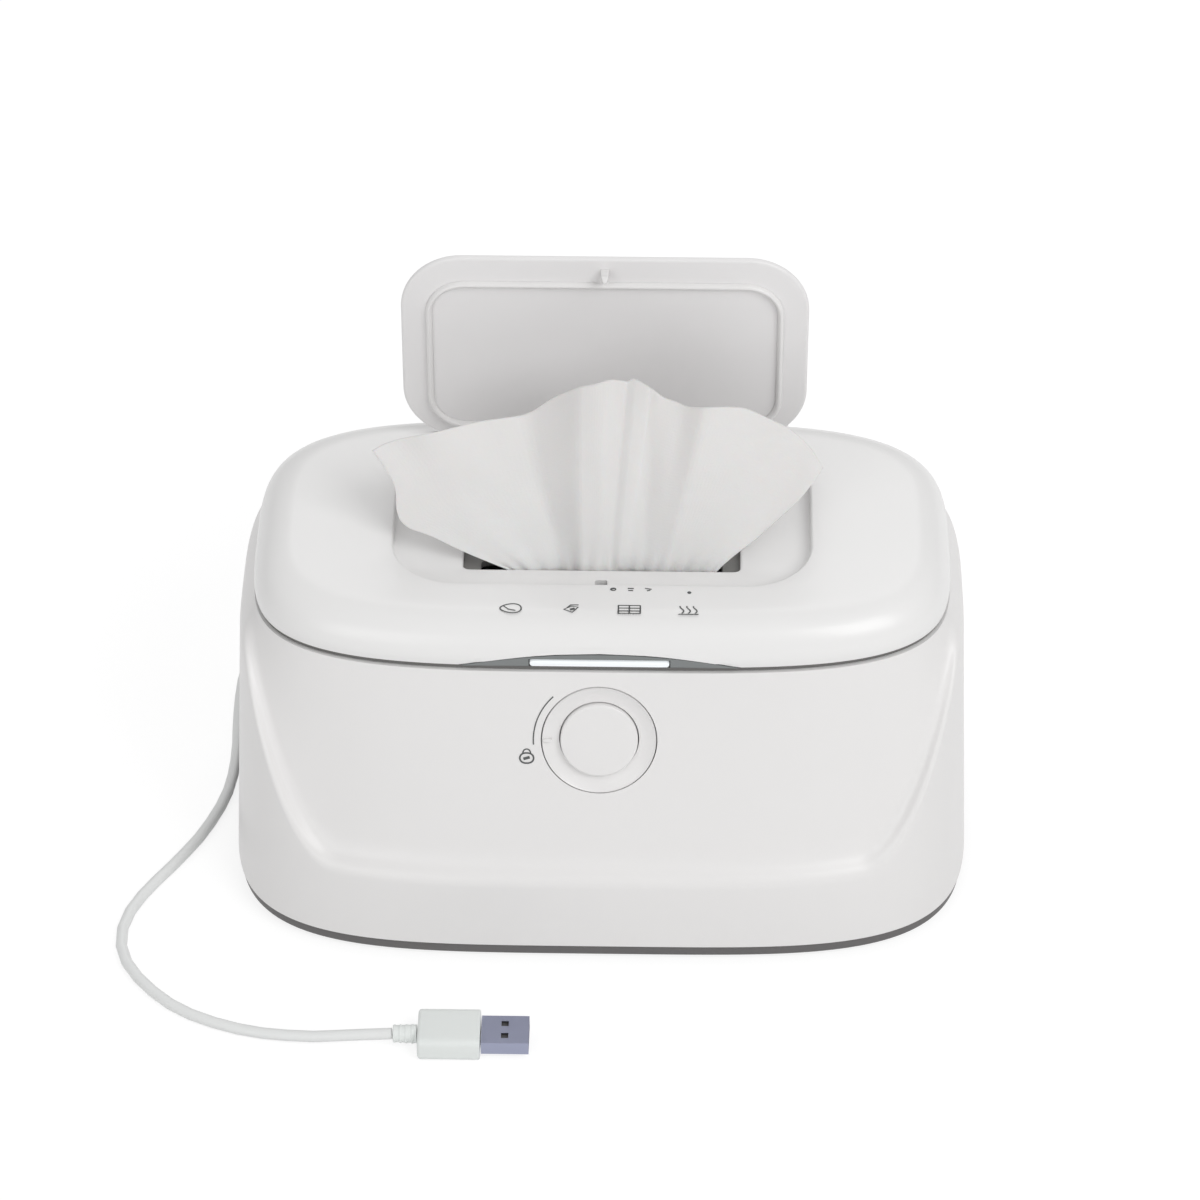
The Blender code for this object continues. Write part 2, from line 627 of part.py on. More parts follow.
SOCKET_HEIGHT = 4.0 * MM


def pad_posts():
    """Posts of the base cover that carry the heater stack."""
    return [(x * POST_X, y * POST_Y) for x in (-1, 1) for y in (-1, 1)]


def board_posts():
    """Posts that carry the main board, at two of its corners and two more."""
    x = BOARD_HALF_WIDTH - BOARD_POST_INSET
    low, high = BOARD_LOW_Y + BOARD_POST_INSET, BOARD_HIGH_Y - BOARD_POST_INSET
    return [(-x, low), (x, low), (x, high), (-x, high)]


def heater_outline(inset=0.0):
    """The outline of the heater's layers."""
    x, y = HEATER_WIDTH / 2 - inset, HEATER_DEPTH / 2 - inset
    low, high = (-x, TANK_CENTRE_Y - y), (x, TANK_CENTRE_Y + y)
    return rounded_rectangle(low, high, HEATER_CORNER - inset)


def make_heater():
    """Plate, film, foam pad and thermal cutout, in layers under the tank."""
    slab("heater_plate", heater_outline(), PLATE_Z, PLATE_Z + PLATE_THICK, ALUMINIUM)
    slab("heater_film", heater_outline(FILM_INSET), FILM_Z, FILM_Z + FILM_THICK, FILM)
    pad = slab("insulation_pad", heater_outline(), PAD_LOW_Z, PAD_LOW_Z + PAD_THICK, FOAM)
    top = FILM_Z - AIR
    cut(pad, rod("cutout_hole", CUTOUT_RADIUS + AIR, (CUTOUT_X, TANK_CENTRE_Y, PAD_LOW_Z - OVERRUN),
                 (CUTOUT_X, TANK_CENTRE_Y, top + OVERRUN), None, sides=20))
    rod("thermal_cutout", CUTOUT_RADIUS, (CUTOUT_X, TANK_CENTRE_Y, top - CUTOUT_HEIGHT),
        (CUTOUT_X, TANK_CENTRE_Y, top), STEEL)


def make_board():
    """The main board on its posts, with a chip and two sockets, and its four screws."""
    board = box("main_board", (-BOARD_HALF_WIDTH, BOARD_LOW_Y, BOARD_Z),
                (BOARD_HALF_WIDTH, BOARD_HIGH_Y, BOARD_Z + BOARD_THICK), BOARD)
    top = BOARD_Z + BOARD_THICK
    middle = (BOARD_LOW_Y + BOARD_HIGH_Y) / 2
    add(board, box("chip", (-CHIP_SIZE / 2, middle - CHIP_SIZE / 2, BOARD_Z + BOARD_THICK / 2),
                   (CHIP_SIZE / 2, middle + CHIP_SIZE / 2, top + CHIP_HEIGHT), None))
    for side in (-1, 1):
        x = side * BOARD_HALF_WIDTH / 2
        low = (x - SOCKET_SIZE, middle - SOCKET_SIZE / 2, BOARD_Z + BOARD_THICK / 2)
        high = (x + SOCKET_SIZE, middle + SOCKET_SIZE / 2, top + SOCKET_HEIGHT)
        add(board, box(f"socket_{side}", low, high, None))
    for k, (x, y) in enumerate(board_posts()):
        cut(board, rod(f"board_hole_{k}", BOARD_SCREW + AIR, (x, y, BOARD_Z - OVERRUN),
                       (x, y, top + OVERRUN), None, sides=10))
        screw = lathe(f"board_screw_{k + 1}", [
            (0, BOARD_SCREW_HEIGHT), (BOARD_SCREW_HEAD, BOARD_SCREW_HEIGHT), (BOARD_SCREW_HEAD, 0),
            (BOARD_SCREW, 0), (BOARD_SCREW, BASE_FLOOR - BOARD_Z), (0, BASE_FLOOR - BOARD_Z)], STEEL, 10)
        screw.location = (x, y, top + AIR)


def tank_outline(height, outset=0.0):
    """The tank's inner outline, which tapers evenly from its mouth to its floor."""
    share = (FLANGE_TOP_Z - height) / (FLANGE_TOP_Z - TANK_FLOOR_Z)
    half_x = TANK_WIDTH / 2 - share * TANK_TAPER + outset
    half_y = TANK_DEPTH / 2 - share * TANK_TAPER + outset
    return superellipse(half_x, half_y, TANK_POWER, TANK_CENTRE_Y, TANK_POINTS)


def make_tank():
    """The liner: floor, tapered wall and a flange over the housing's rim, in one body."""
    inside = [at_height(tank_outline(TANK_FLOOR_Z, -TANK_FILLET), TANK_FLOOR_Z),
              at_height(tank_outline(TANK_FLOOR_Z, -TANK_FILLET / 4), TANK_FLOOR_Z + TANK_FILLET / 4),
              at_height(tank_outline(TANK_FLOOR_Z + TANK_FILLET), TANK_FLOOR_Z + TANK_FILLET),
              at_height(tank_outline(FLANGE_TOP_Z), FLANGE_TOP_Z)]
    rim = superellipse(LID_WIDTH / 2 - FLANGE_INSET, LID_DEPTH / 2 - FLANGE_INSET, LID_POWER,
                       LID_CENTRE_Y, TANK_POINTS)
    flange = [at_height(rim, FLANGE_TOP_Z), at_height(rim, FLANGE_Z)]
    low = TANK_FLOOR_Z - TANK_WALL
    outside = [at_height(tank_outline(FLANGE_Z, TANK_WALL), FLANGE_Z),
               at_height(tank_outline(TANK_FLOOR_Z + TANK_FILLET, TANK_WALL), TANK_FLOOR_Z + TANK_FILLET),
               at_height(tank_outline(TANK_FLOOR_Z, TANK_WALL - TANK_FILLET / 4), low + TANK_FILLET / 4),
               at_height(tank_outline(TANK_FLOOR_Z, -TANK_FILLET), low)]
    tank = skin("tank", inside + flange + outside, DARK)
    cut(tank, box("leg_way", (-LEG_HALF_WIDTH - AIR, LEG_FRONT_Y - AIR, FLANGE_Z - OVERRUN),
                  (LEG_HALF_WIDTH + AIR, LEG_BACK_Y + AIR, FLANGE_TOP_Z + OVERRUN), None))
    side = CATCH_HALF_WIDTH + CATCH_HOLE_GAP
    cut(tank, box("catch_way", (-side, CATCH_NOSE_Y - 2 * CATCH_HOLE_GAP, FLANGE_Z - OVERRUN),
                  (side, CATCH_BACK_Y + CATCH_HOLE_GAP, FLANGE_TOP_Z + OVERRUN), None))


STACK_FOOT_Z = TANK_FLOOR_Z + AIR
STACK_TOP_Z = STACK_FOOT_Z + STACK_HEIGHT
STACK_CROWN_INSET = 16.0 * MM


def stack_outline(inset):
    """The folded wipes' outline in the tank, a margin in from the wall at the floor."""
    return tank_outline(TANK_FLOOR_Z, -STACK_MARGIN - inset)


def make_stack():
    """The wipes left in the tank: a soft block, drawn in at its edges and crowned on top."""
    rings = [at_height(stack_outline(TANK_FILLET), STACK_FOOT_Z),
             at_height(stack_outline(0), STACK_FOOT_Z + STACK_CROWN),
             at_height(stack_outline(0), STACK_TOP_Z - 2 * STACK_CROWN),
             at_height(stack_outline(STACK_CROWN), STACK_TOP_Z - STACK_CROWN),
             at_height(stack_outline(STACK_CROWN_INSET), STACK_TOP_Z)]
    skin("wipe_stack", rings, CLOTH)


def make_button():
    """The round push button: face, skirt and the stem that works the latch."""
    face_back = BUTTON_PROUD - BUTTON_FACE
    skirt_inner = BUTTON_RADIUS - BUTTON_SKIRT_WALL
    button = lathe("push_button", [
        (0, BUTTON_PROUD), (BUTTON_RADIUS - 3 * BUTTON_EDGE, BUTTON_PROUD),
        (BUTTON_RADIUS - BUTTON_EDGE, BUTTON_PROUD - BUTTON_EDGE / 4),
        (BUTTON_RADIUS, BUTTON_PROUD - BUTTON_EDGE), (BUTTON_RADIUS, -BUTTON_SKIRT),
        (skirt_inner, -BUTTON_SKIRT), (skirt_inner, face_back), (STEM_RADIUS, face_back),
        (STEM_RADIUS, -STEM_END), (0, -STEM_END)], WHITE, 28)
    on_panel(button)


def make_dial():
    """The lock ring round the button, with a dished face and a raised tick at its left."""
    inner = BUTTON_RADIUS + DIAL_GAP
    reach = DIAL_RADIUS - inner
    flange = DIAL_RADIUS + DIAL_FLANGE_REACH
    behind = -(PANEL_WALL + AIR)
    dish = [(DIAL_RADIUS - reach * k / 4, DIAL_PROUD - DIAL_DISH * math.sin(k / 4 * math.pi / 2))
            for k in range(5)]
    dial = lathe("lock_dial", dish + [(inner, -DIAL_DEPTH), (flange, -DIAL_DEPTH), (flange, behind),
                                      (DIAL_RADIUS, behind), dish[0]], WHITE, 36)
    tick = box("dial_tick", (-DIAL_RADIUS + TICK_HEIGHT, -TICK_WIDTH / 2, -DIAL_DISH),
               (-DIAL_RADIUS + TICK_HEIGHT + TICK_LENGTH, TICK_WIDTH / 2, DIAL_PROUD + TICK_HEIGHT), None)
    add(dial, tick)
    on_panel(dial)


def make_latch():
    """The cup behind the dial with its two cheeks, the lever between them, its pin, the spring."""
    back = -(CUP_FLOOR_FRONT + CUP_FLOOR)
    cup = lathe("latch_bracket", [
        (CUP_RADIUS, DIAL_BACK_Z), (CUP_RADIUS, back), (STEM_RADIUS + DIAL_GAP, back),
        (STEM_RADIUS + DIAL_GAP, -CUP_FLOOR_FRONT), (CUP_RADIUS - CUP_WALL, -CUP_FLOOR_FRONT),
        (CUP_RADIUS - CUP_WALL, DIAL_BACK_Z), (CUP_RADIUS, DIAL_BACK_Z)], WHITE, 28)
    up, out = LEVER_UP, -LEVER_BEHIND
    inner_x = LEVER_HALF_WIDTH + AIR
    for side in (-1, 1):
        low_x, high_x = sorted((side * inner_x, side * (inner_x + CHEEK_THICK)))
        add(cup, box(f"cheek_{side}", (low_x, up - CHEEK_HALF_HEIGHT, out - PIVOT_EYE),
                     (high_x, up + CHEEK_HALF_HEIGHT, back + CUP_FLOOR / 2), None))
        cut(cup, rod(f"cheek_bore_{side}", PIN_RADIUS + AIR, (side * (inner_x - AIR), up, out),
                     (side * (inner_x + CHEEK_THICK + OVERRUN), up, out), None, sides=12))
    cut(cup, box("lever_way", (-inner_x, up - LEVER_WAY, back - OVERRUN),
                 (inner_x, CUP_RADIUS, -CUP_FLOOR_FRONT + OVERRUN), None))
    cut(cup, box("cup_top_way", (-CUP_RADIUS - OVERRUN, CUP_TOP, back - OVERRUN),
                 (CUP_RADIUS + OVERRUN, CUP_RADIUS + OVERRUN, OVERRUN), None))
    on_panel(cup)
    put(rod("latch_pin", PIN_RADIUS, (-PIN_HALF, 0, 0), (PIN_HALF, 0, 0), STEEL, sides=12), LEVER)
    lever = box("latch_lever", (-LEVER_HALF_WIDTH, -LEVER_HALF_THICK, -LEVER_FOOT),
                (LEVER_HALF_WIDTH, LEVER_HALF_THICK, LEVER_TOP), DARK)
    add(lever, box("lever_hook", (-LEVER_HALF_WIDTH, -LEVER_HALF_THICK, LEVER_TOP - HOOK_HEIGHT),
                   (LEVER_HALF_WIDTH, HOOK_TIP, LEVER_TOP), None))
    add(lever, rod("lever_eye", PIVOT_EYE, (-LEVER_HALF_WIDTH, 0, 0), (LEVER_HALF_WIDTH, 0, 0),
                   None, sides=16))
    cut(lever, rod("lever_bore", PIN_RADIUS + AIR, (-LEVER_HALF_WIDTH - OVERRUN, 0, 0),
                   (LEVER_HALF_WIDTH + OVERRUN, 0, 0), None, sides=12))
    put(lever, LEVER)
    spring_top = BUTTON_PROUD - BUTTON_FACE - AIR - SPRING_WIRE
    spring_foot = -CUP_FLOOR_FRONT + AIR + SPRING_WIRE
    count = SPRING_CURLS * SPRING_POINTS
    route = []
    for k in range(count + 1):
        angle = k / SPRING_POINTS * 2 * math.pi
        height = spring_foot + (spring_top - spring_foot) * k / count
        route.append((SPRING_RADIUS * math.cos(angle), SPRING_RADIUS * math.sin(angle), height))
    on_panel(tube("button_spring", route, SPRING_WIRE, STEEL, 1))


def tube(name, route, radius, material, resolution=2):
    """A round tube with closed ends through a list of points."""
    line = bpy.data.curves.new(name, "CURVE")
    line.dimensions = "3D"
    line.bevel_depth = radius
    line.bevel_resolution = resolution
    line.use_fill_caps = True
    spline = line.splines.new("POLY")
    spline.points.add(len(route) - 1)
    for point, place_at in zip(spline.points, route):
        point.co = (*place_at, 1.0)
    line.materials.append(material)
    thing = bpy.data.objects.new(name, line)
    PARTS.objects.link(thing)
    return thing


def arch_outline(gap):
    """The arched gap over the light bar as (x, z) points: an arc on a straight foot."""
    half, height = ARCH_HALF_WIDTH - gap, ARCH_HEIGHT - gap
    radius = (half * half + height * height) / (2 * height)
    reach = math.asin(half / radius)
    arc = [reach * (1 - 2 * k / ARCH_STEPS) for k in range(ARCH_STEPS + 1)]
    return [(radius * math.sin(a), LID_FOOT_Z + height - radius + radius * math.cos(a)) for a in arc]


def make_light():
    """The dark arched surround on the flange, the light bar in it and the lamp strip below."""
    lens = arch_outline(BEZEL_GAP)
    bezel = skin("light_bezel", [[(x, BEZEL_FRONT_Y, z) for x, z in lens],
                                 [(x, BEZEL_BACK_Y, z) for x, z in lens]], DARK)
    cut(bezel, box("bar_way", (-BAR_HALF_WIDTH - AIR, BEZEL_FRONT_Y - OVERRUN, LID_FOOT_Z - OVERRUN),
                   (BAR_HALF_WIDTH + AIR, BEZEL_BACK_Y + OVERRUN, BAR_LOW_Z + BAR_HEIGHT + AIR), None))
    bar = box("light_bar", (-BAR_HALF_WIDTH, BAR_FRONT_Y, BAR_LOW_Z),
              (BAR_HALF_WIDTH, LEG_BACK_Y, BAR_LOW_Z + BAR_HEIGHT), GLOW, BAR_EDGE)
    add(bar, box("light_leg", (-LEG_HALF_WIDTH, LEG_FRONT_Y, LEG_FOOT_Z),
                 (LEG_HALF_WIDTH, LEG_BACK_Y, BAR_LOW_Z + BAR_HEIGHT / 2), None))
    top = LEG_FOOT_Z - AIR
    box("led_board", (-LED_BOARD_HALF, LED_BOARD_FRONT_Y, top - LED_BOARD_THICK),
        (LED_BOARD_HALF, LED_BOARD_BACK_Y, top), BOARD)


# Lid pieces under the cover
LINER_GAP = 0.4 * MM
LINER_THICK = 1.6 * MM
GASKET_WIDTH = 1.7 * MM
GASKET_HEIGHT = 1.1 * MM
GASKET_OUTSET = 0.3 * MM
LINER_Z = LID_FOOT_Z + GASKET_HEIGHT + AIR
LIP_MARGIN = 4.0 * MM
LIP_THICK = 2.2 * MM
LIP_Z = RECESS_FLOOR_Z - LID_WALL - AIR - LIP_THICK
SLIT_HALF = 37.0 * MM
SLIT_DEPTH = 7.5 * MM
SLIT_CORNER = 2.5 * MM
SLIT_FRONT_Y = SLOT_FRONT_Y
SLIT_BACK_Y = SLIT_FRONT_Y + SLIT_DEPTH
LINER_HOLE_GAP = 2.0 * MM
TOUCH_HALF = 33.0 * MM
TOUCH_INSET = 9.5 * MM
TOUCH_FRONT_Y = LID_FRONT_Y + TOUCH_INSET
TOUCH_THICK = 1.3 * MM
LINER_SCREW_X = 70.0 * MM
LINER_SCREW_INSET = 26.5 * MM
LINER_SCREW_Y = LID_DEPTH / 2 - LINER_SCREW_INSET
LINER_SCREW = 1.2 * MM
LINER_SCREW_HEAD = 2.4 * MM
LINER_SCREW_HEIGHT = 1.0 * MM
LINER_BOSS = 3.0 * MM
HOOK_HALF_WIDTH = 1.3 * MM
HOOK_INSET = 3.6 * MM
HOOK_DEPTH = 2.2 * MM
HOOK_REACH = 6.0 * MM
HOOK_HOLE_GAP = 0.6 * MM
KNUCKLE_ARM = 2.6 * MM
KNUCKLE_ARM_DROP = 0.325 * MM


def lid_ring(inset, round_radius, top, turn):
    """A ring of the lid's rounded edge: turn runs from upright (0) to flat (quarter turn)."""
    ring = lid_outline(inset + round_radius * (1 - math.cos(turn)))
    return at_height(ring, top - round_radius + round_radius * math.sin(turn))


def recess_outline(outset):
    """The outline of the recess that the flap closes into."""
    half = FLAP_WIDTH / 2 + FLAP_GAP + outset
    low = (-half, FLAP_FRONT_Y - FLAP_GAP - outset)
    high = (half, FLAP_HINGE_Y + RECESS_BEHIND_HINGE + outset)
    return rounded_rectangle(low, high, FLAP_CORNER + FLAP_GAP + outset, 6)


def make_lid_cover():
    """The lid's outer shell with the flap recess, its ears, the slot and the hinge knuckles."""
    quarter = math.pi / 2
    inner_round = LID_EDGE_ROUND - LID_WALL
    inner_top = LID_TOP_Z - LID_WALL
    inside = [lid_ring(LID_WALL, inner_round, inner_top, quarter * k / 3) for k in (3, 2, 1, 0)]
    inside.append(at_height(lid_outline(LID_WALL), LID_FOOT_Z))
    outside = [at_height(lid_outline(), LID_FOOT_Z)]
    outside += [lid_ring(0, LID_EDGE_ROUND, LID_TOP_Z, quarter * k / 5) for k in range(6)]
    cover = skin("lid_cover", inside + outside, WHITE)
    tray = recess_outline(LID_WALL)
    add(cover, slab("recess_tray", tray, RECESS_FLOOR_Z - LID_WALL, LID_TOP_Z - LID_WALL / 2, None))
    cut(cover, slab("recess", recess_outline(0), RECESS_FLOOR_Z, LID_TOP_Z + OVERRUN, None))
    for side in (-1, 1):
        ear_span = (side * (FLAP_BARREL_HALF + AIR), side * (FLAP_BARREL_HALF + EAR_THICKNESS))
        low_x, high_x = min(ear_span), max(ear_span)
        ear_foot = RECESS_FLOOR_Z - LID_WALL / 2
        ear_low = (low_x + EYE_SIDE, FLAP_HINGE_Y - EAR_HALF_DEPTH, ear_foot)
        ear_high = (high_x - EYE_SIDE, FLAP_HINGE_Y + EAR_HALF_DEPTH, FLAP_AXIS_Z)
        add(cover, box(f"flap_ear_{side}", ear_low, ear_high, None))
        add(cover, rod(f"flap_eye_{side}", EAR_HALF_DEPTH, (low_x, FLAP_HINGE_Y, FLAP_AXIS_Z),
                       (high_x, FLAP_HINGE_Y, FLAP_AXIS_Z), None, sides=12))
        near = side * HINGE_INNER_X + side * (HINGE_EAR + AIR)
        far = near + side * (HINGE_KNUCKLE - 2 * AIR)
        low_x, high_x = sorted((near, far))
        arm_low = (low_x + EYE_SIDE, LID_BACK_Y - LID_WALL, HINGE_Z - KNUCKLE_ARM_DROP)
        arm_high = (high_x - EYE_SIDE, HINGE_Y, HINGE_Z + KNUCKLE_ARM)
        add(cover, box(f"lid_arm_{side}", arm_low, arm_high, None))
        add(cover, rod(f"lid_knuckle_{side}", HINGE_EYE, (low_x, HINGE_Y, HINGE_Z),
                       (high_x, HINGE_Y, HINGE_Z), None, sides=16))
        cut(cover, rod(f"lid_bore_{side}", HINGE_PIN + AIR, (low_x - OVERRUN, HINGE_Y, HINGE_Z),
                       (high_x + OVERRUN, HINGE_Y, HINGE_Z), None, sides=12))
        label = "left" if side < 0 else "right"
        rod(f"lid_hinge_pin_{label}", HINGE_PIN, (side * HINGE_INNER_X, HINGE_Y, HINGE_Z),
            (side * HINGE_OUTER_X, HINGE_Y, HINGE_Z), STEEL, sides=14)
    half = FLAP_BARREL_HALF + EAR_THICKNESS + OVERRUN
    cut(cover, rod("flap_pin_bore", FLAP_PIN_RADIUS + AIR, (-half, FLAP_HINGE_Y, FLAP_AXIS_Z),
                   (half, FLAP_HINGE_Y, FLAP_AXIS_Z), None, sides=12))
    slot = rounded_rectangle((-SLOT_WIDTH / 2, SLOT_FRONT_Y),
                             (SLOT_WIDTH / 2, SLOT_FRONT_Y + SLOT_DEPTH), SLOT_CORNER, 3)
    cut(cover, slab("slot", slot, RECESS_FLOOR_Z - LID_WALL - OVERRUN, LID_TOP_Z, None))
    hook_y = FLAP_FRONT_Y + HOOK_INSET
    half = HOOK_HALF_WIDTH + HOOK_HOLE_GAP
    cut(cover, box("hook_hole", (-half, hook_y - HOOK_HOLE_GAP, RECESS_FLOOR_Z - LID_WALL - OVERRUN),
                   (half, hook_y + HOOK_DEPTH + HOOK_HOLE_GAP / 2, LID_TOP_Z), None))
    arch = arch_outline(0)
    foot = [(-ARCH_HALF_WIDTH, LID_FOOT_Z - OVERRUN), (ARCH_HALF_WIDTH, LID_FOOT_Z - OVERRUN)]
    front, back = LID_FRONT_Y - OVERRUN, LID_FRONT_Y + LID_WALL + OVERRUN
    cut(cover, skin("arch", [[(x, front, z) for x, z in arch + foot],
                             [(x, back, z) for x, z in arch + foot]], None))
    for k, (x, y) in enumerate(liner_screws()):
        add(cover, rod(f"liner_boss_{k}", LINER_BOSS, (x, y, LINER_Z + LINER_THICK + AIR),
                       (x, y, LID_TOP_Z - LID_WALL / 2), None, sides=12))
        cut(cover, rod(f"liner_bore_{k}", LINER_SCREW + AIR, (x, y, LINER_Z),
                       (x, y, RECESS_FLOOR_Z), None, sides=10))
    return cover


def liner_screws():
    """The four places where the liner is screwed to bosses of the cover."""
    return [(x * LINER_SCREW_X, LID_CENTRE_Y + y * LINER_SCREW_Y) for x in (-1, 1) for y in (-1, 1)]


def make_lid_inside():
    """The liner plate with its screws, gasket and catch, the slot lips and the touch board."""
    outline = lid_outline(LID_WALL + LINER_GAP)
    liner = slab("lid_liner", outline, LINER_Z, LINER_Z + LINER_THICK, WHITE)
    gap = LIP_MARGIN + LINER_HOLE_GAP
    hole = rounded_rectangle((-SLOT_WIDTH / 2 - gap, SLOT_FRONT_Y - gap),
                             (SLOT_WIDTH / 2 + gap, SLOT_FRONT_Y + SLOT_DEPTH + gap), gap, 3)
    cut(liner, slab("liner_hole", hole, LINER_Z - OVERRUN, LINER_Z + LINER_THICK + OVERRUN, None))
    front = LID_FRONT_Y - OVERRUN
    notch_half, notch_top = ARCH_HALF_WIDTH + LINER_GAP, LINER_Z + LINER_THICK + OVERRUN
    cut(liner, box("liner_notch", (-notch_half, front, LINER_Z - OVERRUN),
                   (notch_half, LEG_BACK_Y + LINER_GAP, notch_top), None))
    for k, (x, y) in enumerate(liner_screws()):
        cut(liner, rod(f"liner_way_{k}", LINER_SCREW + AIR, (x, y, LINER_Z - OVERRUN),
                       (x, y, LINER_Z + LINER_THICK + OVERRUN), None, sides=10))
        tip = LINER_THICK + LIP_MARGIN
        screw = lathe(f"liner_screw_{k + 1}", [
            (0, tip), (LINER_SCREW, tip), (LINER_SCREW, 0), (LINER_SCREW_HEAD, 0),
            (LINER_SCREW_HEAD, -LINER_SCREW_HEIGHT), (0, -LINER_SCREW_HEIGHT)], STEEL, 10)
        screw.location = (x, y, LINER_Z - AIR)
    low, high = LID_FOOT_Z, LID_FOOT_Z + GASKET_HEIGHT
    inner = tank_outline(FLANGE_TOP_Z, GASKET_OUTSET)
    outer = tank_outline(FLANGE_TOP_Z, GASKET_OUTSET + GASKET_WIDTH)
    skin("lid_gasket", [at_height(outer, low), at_height(outer, high), at_height(inner, high),
                        at_height(inner, low)], RUBBER, closed=True)
    lip_low = (-SLOT_WIDTH / 2 - LIP_MARGIN, SLOT_FRONT_Y - LIP_MARGIN / 2)
    lip_high = (SLOT_WIDTH / 2 + LIP_MARGIN, SLOT_FRONT_Y + SLOT_DEPTH + LIP_MARGIN)
    lip = slab("slot_lips", rounded_rectangle(lip_low, lip_high, LIP_MARGIN, 3), LIP_Z,
               LIP_Z + LIP_THICK, RUBBER)
    slit = rounded_rectangle((-SLIT_HALF, SLIT_FRONT_Y), (SLIT_HALF, SLIT_BACK_Y), SLIT_CORNER, 4)
    cut(lip, slab("slit", slit, LIP_Z - OVERRUN, LIP_Z + LIP_THICK + OVERRUN, None))
    touch_top = LID_TOP_Z - LID_WALL - LINER_GAP - EAR_HALF_DEPTH / 2
    box("touch_board", (-TOUCH_HALF, TOUCH_FRONT_Y, touch_top - TOUCH_THICK),
        (TOUCH_HALF, FLAP_FRONT_Y - FLAP_GAP - LID_WALL - AIR, touch_top), BOARD)
    plate_top = LINER_Z - AIR
    catch = box("lid_catch", (-CATCH_HALF_WIDTH, CATCH_FRONT_Y, CATCH_FOOT_Z),
                (CATCH_HALF_WIDTH, CATCH_BACK_Y, plate_top), WHITE)
    add(catch, box("catch_nose", (-CATCH_HALF_WIDTH, CATCH_NOSE_Y, CATCH_FOOT_Z),
                   (CATCH_HALF_WIDTH, CATCH_BACK_Y, CATCH_FOOT_Z + CATCH_NOSE_HEIGHT), None))


def flap_place():
    """The flap's frame: drawn closed about the hinge, then swung open."""
    return Matrix.Translation((0, FLAP_HINGE_Y, FLAP_AXIS_Z)) @ Matrix.Rotation(-FLAP_OPEN, 4, "X")


# Flap's own details
RIM_SIDE_INSET = 7.6 * MM
RIM_FRONT_INSET = 8.5 * MM
RIM_REAR_Y = 7.0 * MM
RIM_WIDTH = 2.0 * MM
RIM_HEIGHT = 1.6 * MM
RIM_CORNER = 12.0 * MM
FLAP_INNER_Z = LID_TOP_Z - FLAP_WALL - FLAP_AXIS_Z
FLAP_OUTER_Z = LID_TOP_Z - FLAP_AXIS_Z
FLAP_TIP_Y = FLAP_FRONT_Y - FLAP_HINGE_Y

# The hook's size share and depth share, from its root to its tip
HOOK_SHARES = ((1, 0), (0.8, 0.55), (0.9, 0.6), (0.3, 1))


def make_flap():
    """The flap panel with its barrel, the pin, the raised seal and the hook at its free edge."""
    low, high = (-FLAP_WIDTH / 2, FLAP_TIP_Y), (FLAP_WIDTH / 2, -FLAP_REAR_GAP)
    panel = slab("flap_panel", rounded_rectangle(low, high, FLAP_CORNER, 6), FLAP_INNER_Z,
                 FLAP_OUTER_Z, WHITE)
    add(panel, box("flap_web", (-FLAP_BARREL_HALF, -FLAP_REAR_GAP - FLAP_NOTCH_DEPTH, FLAP_INNER_Z),
                   (FLAP_BARREL_HALF, 0, FLAP_OUTER_Z), None))
    for side in (-1, 1):
        far = side * (FLAP_BARREL_HALF + EAR_THICKNESS + FLAP_GAP)
        low_x, high_x = sorted((side * FLAP_BARREL_HALF, far))
        notch_low = (low_x, -FLAP_REAR_GAP - FLAP_NOTCH_DEPTH, FLAP_INNER_Z - OVERRUN)
        cut(panel, box(f"ear_notch_{side}", notch_low, (high_x, OVERRUN, FLAP_OUTER_Z + OVERRUN), None))
    add(panel, rod("flap_barrel", FLAP_BARREL_RADIUS, (-FLAP_BARREL_HALF, 0, 0),
                   (FLAP_BARREL_HALF, 0, 0), None, sides=16))
    cut(panel, rod("barrel_bore", FLAP_PIN_RADIUS + AIR, (-FLAP_BARREL_HALF - OVERRUN, 0, 0),
                   (FLAP_BARREL_HALF + OVERRUN, 0, 0), None, sides=12))
    put(panel, flap_place())
    half = FLAP_BARREL_HALF + EAR_THICKNESS
    rod("flap_hinge_pin", FLAP_PIN_RADIUS, (-half, FLAP_HINGE_Y, FLAP_AXIS_Z),
        (half, FLAP_HINGE_Y, FLAP_AXIS_Z), STEEL, sides=12)
    side = FLAP_WIDTH / 2 - RIM_SIDE_INSET
    front = FLAP_TIP_Y + RIM_FRONT_INSET
    outer = rounded_rectangle((-side, front), (side, -RIM_REAR_Y), RIM_CORNER, 5)
    side -= RIM_WIDTH
    inner = rounded_rectangle((-side, front + RIM_WIDTH), (side, -RIM_REAR_Y - RIM_WIDTH),
                              RIM_CORNER - RIM_WIDTH, 5)
    top = FLAP_INNER_Z - AIR
    foot = top - RIM_HEIGHT
    seal = skin("flap_seal", [at_height(outer, top), at_height(outer, foot), at_height(inner, foot),
                              at_height(inner, top)], WHITE, closed=True)
    seal.matrix_world = flap_place()
    wide, deep = HOOK_HALF_WIDTH, HOOK_DEPTH / 2
    middle = FLAP_TIP_Y + HOOK_INSET + deep
    rings = []
    for share, reach in HOOK_SHARES:
        x, y, z = wide * share, deep * share, top - HOOK_REACH * reach
        rings.append([(-x, middle - y, z), (x, middle - y, z), (x, middle + y, z), (-x, middle + y, z)])
    hook = skin("flap_hook", rings, WHITE)
    hook.matrix_world = flap_place()


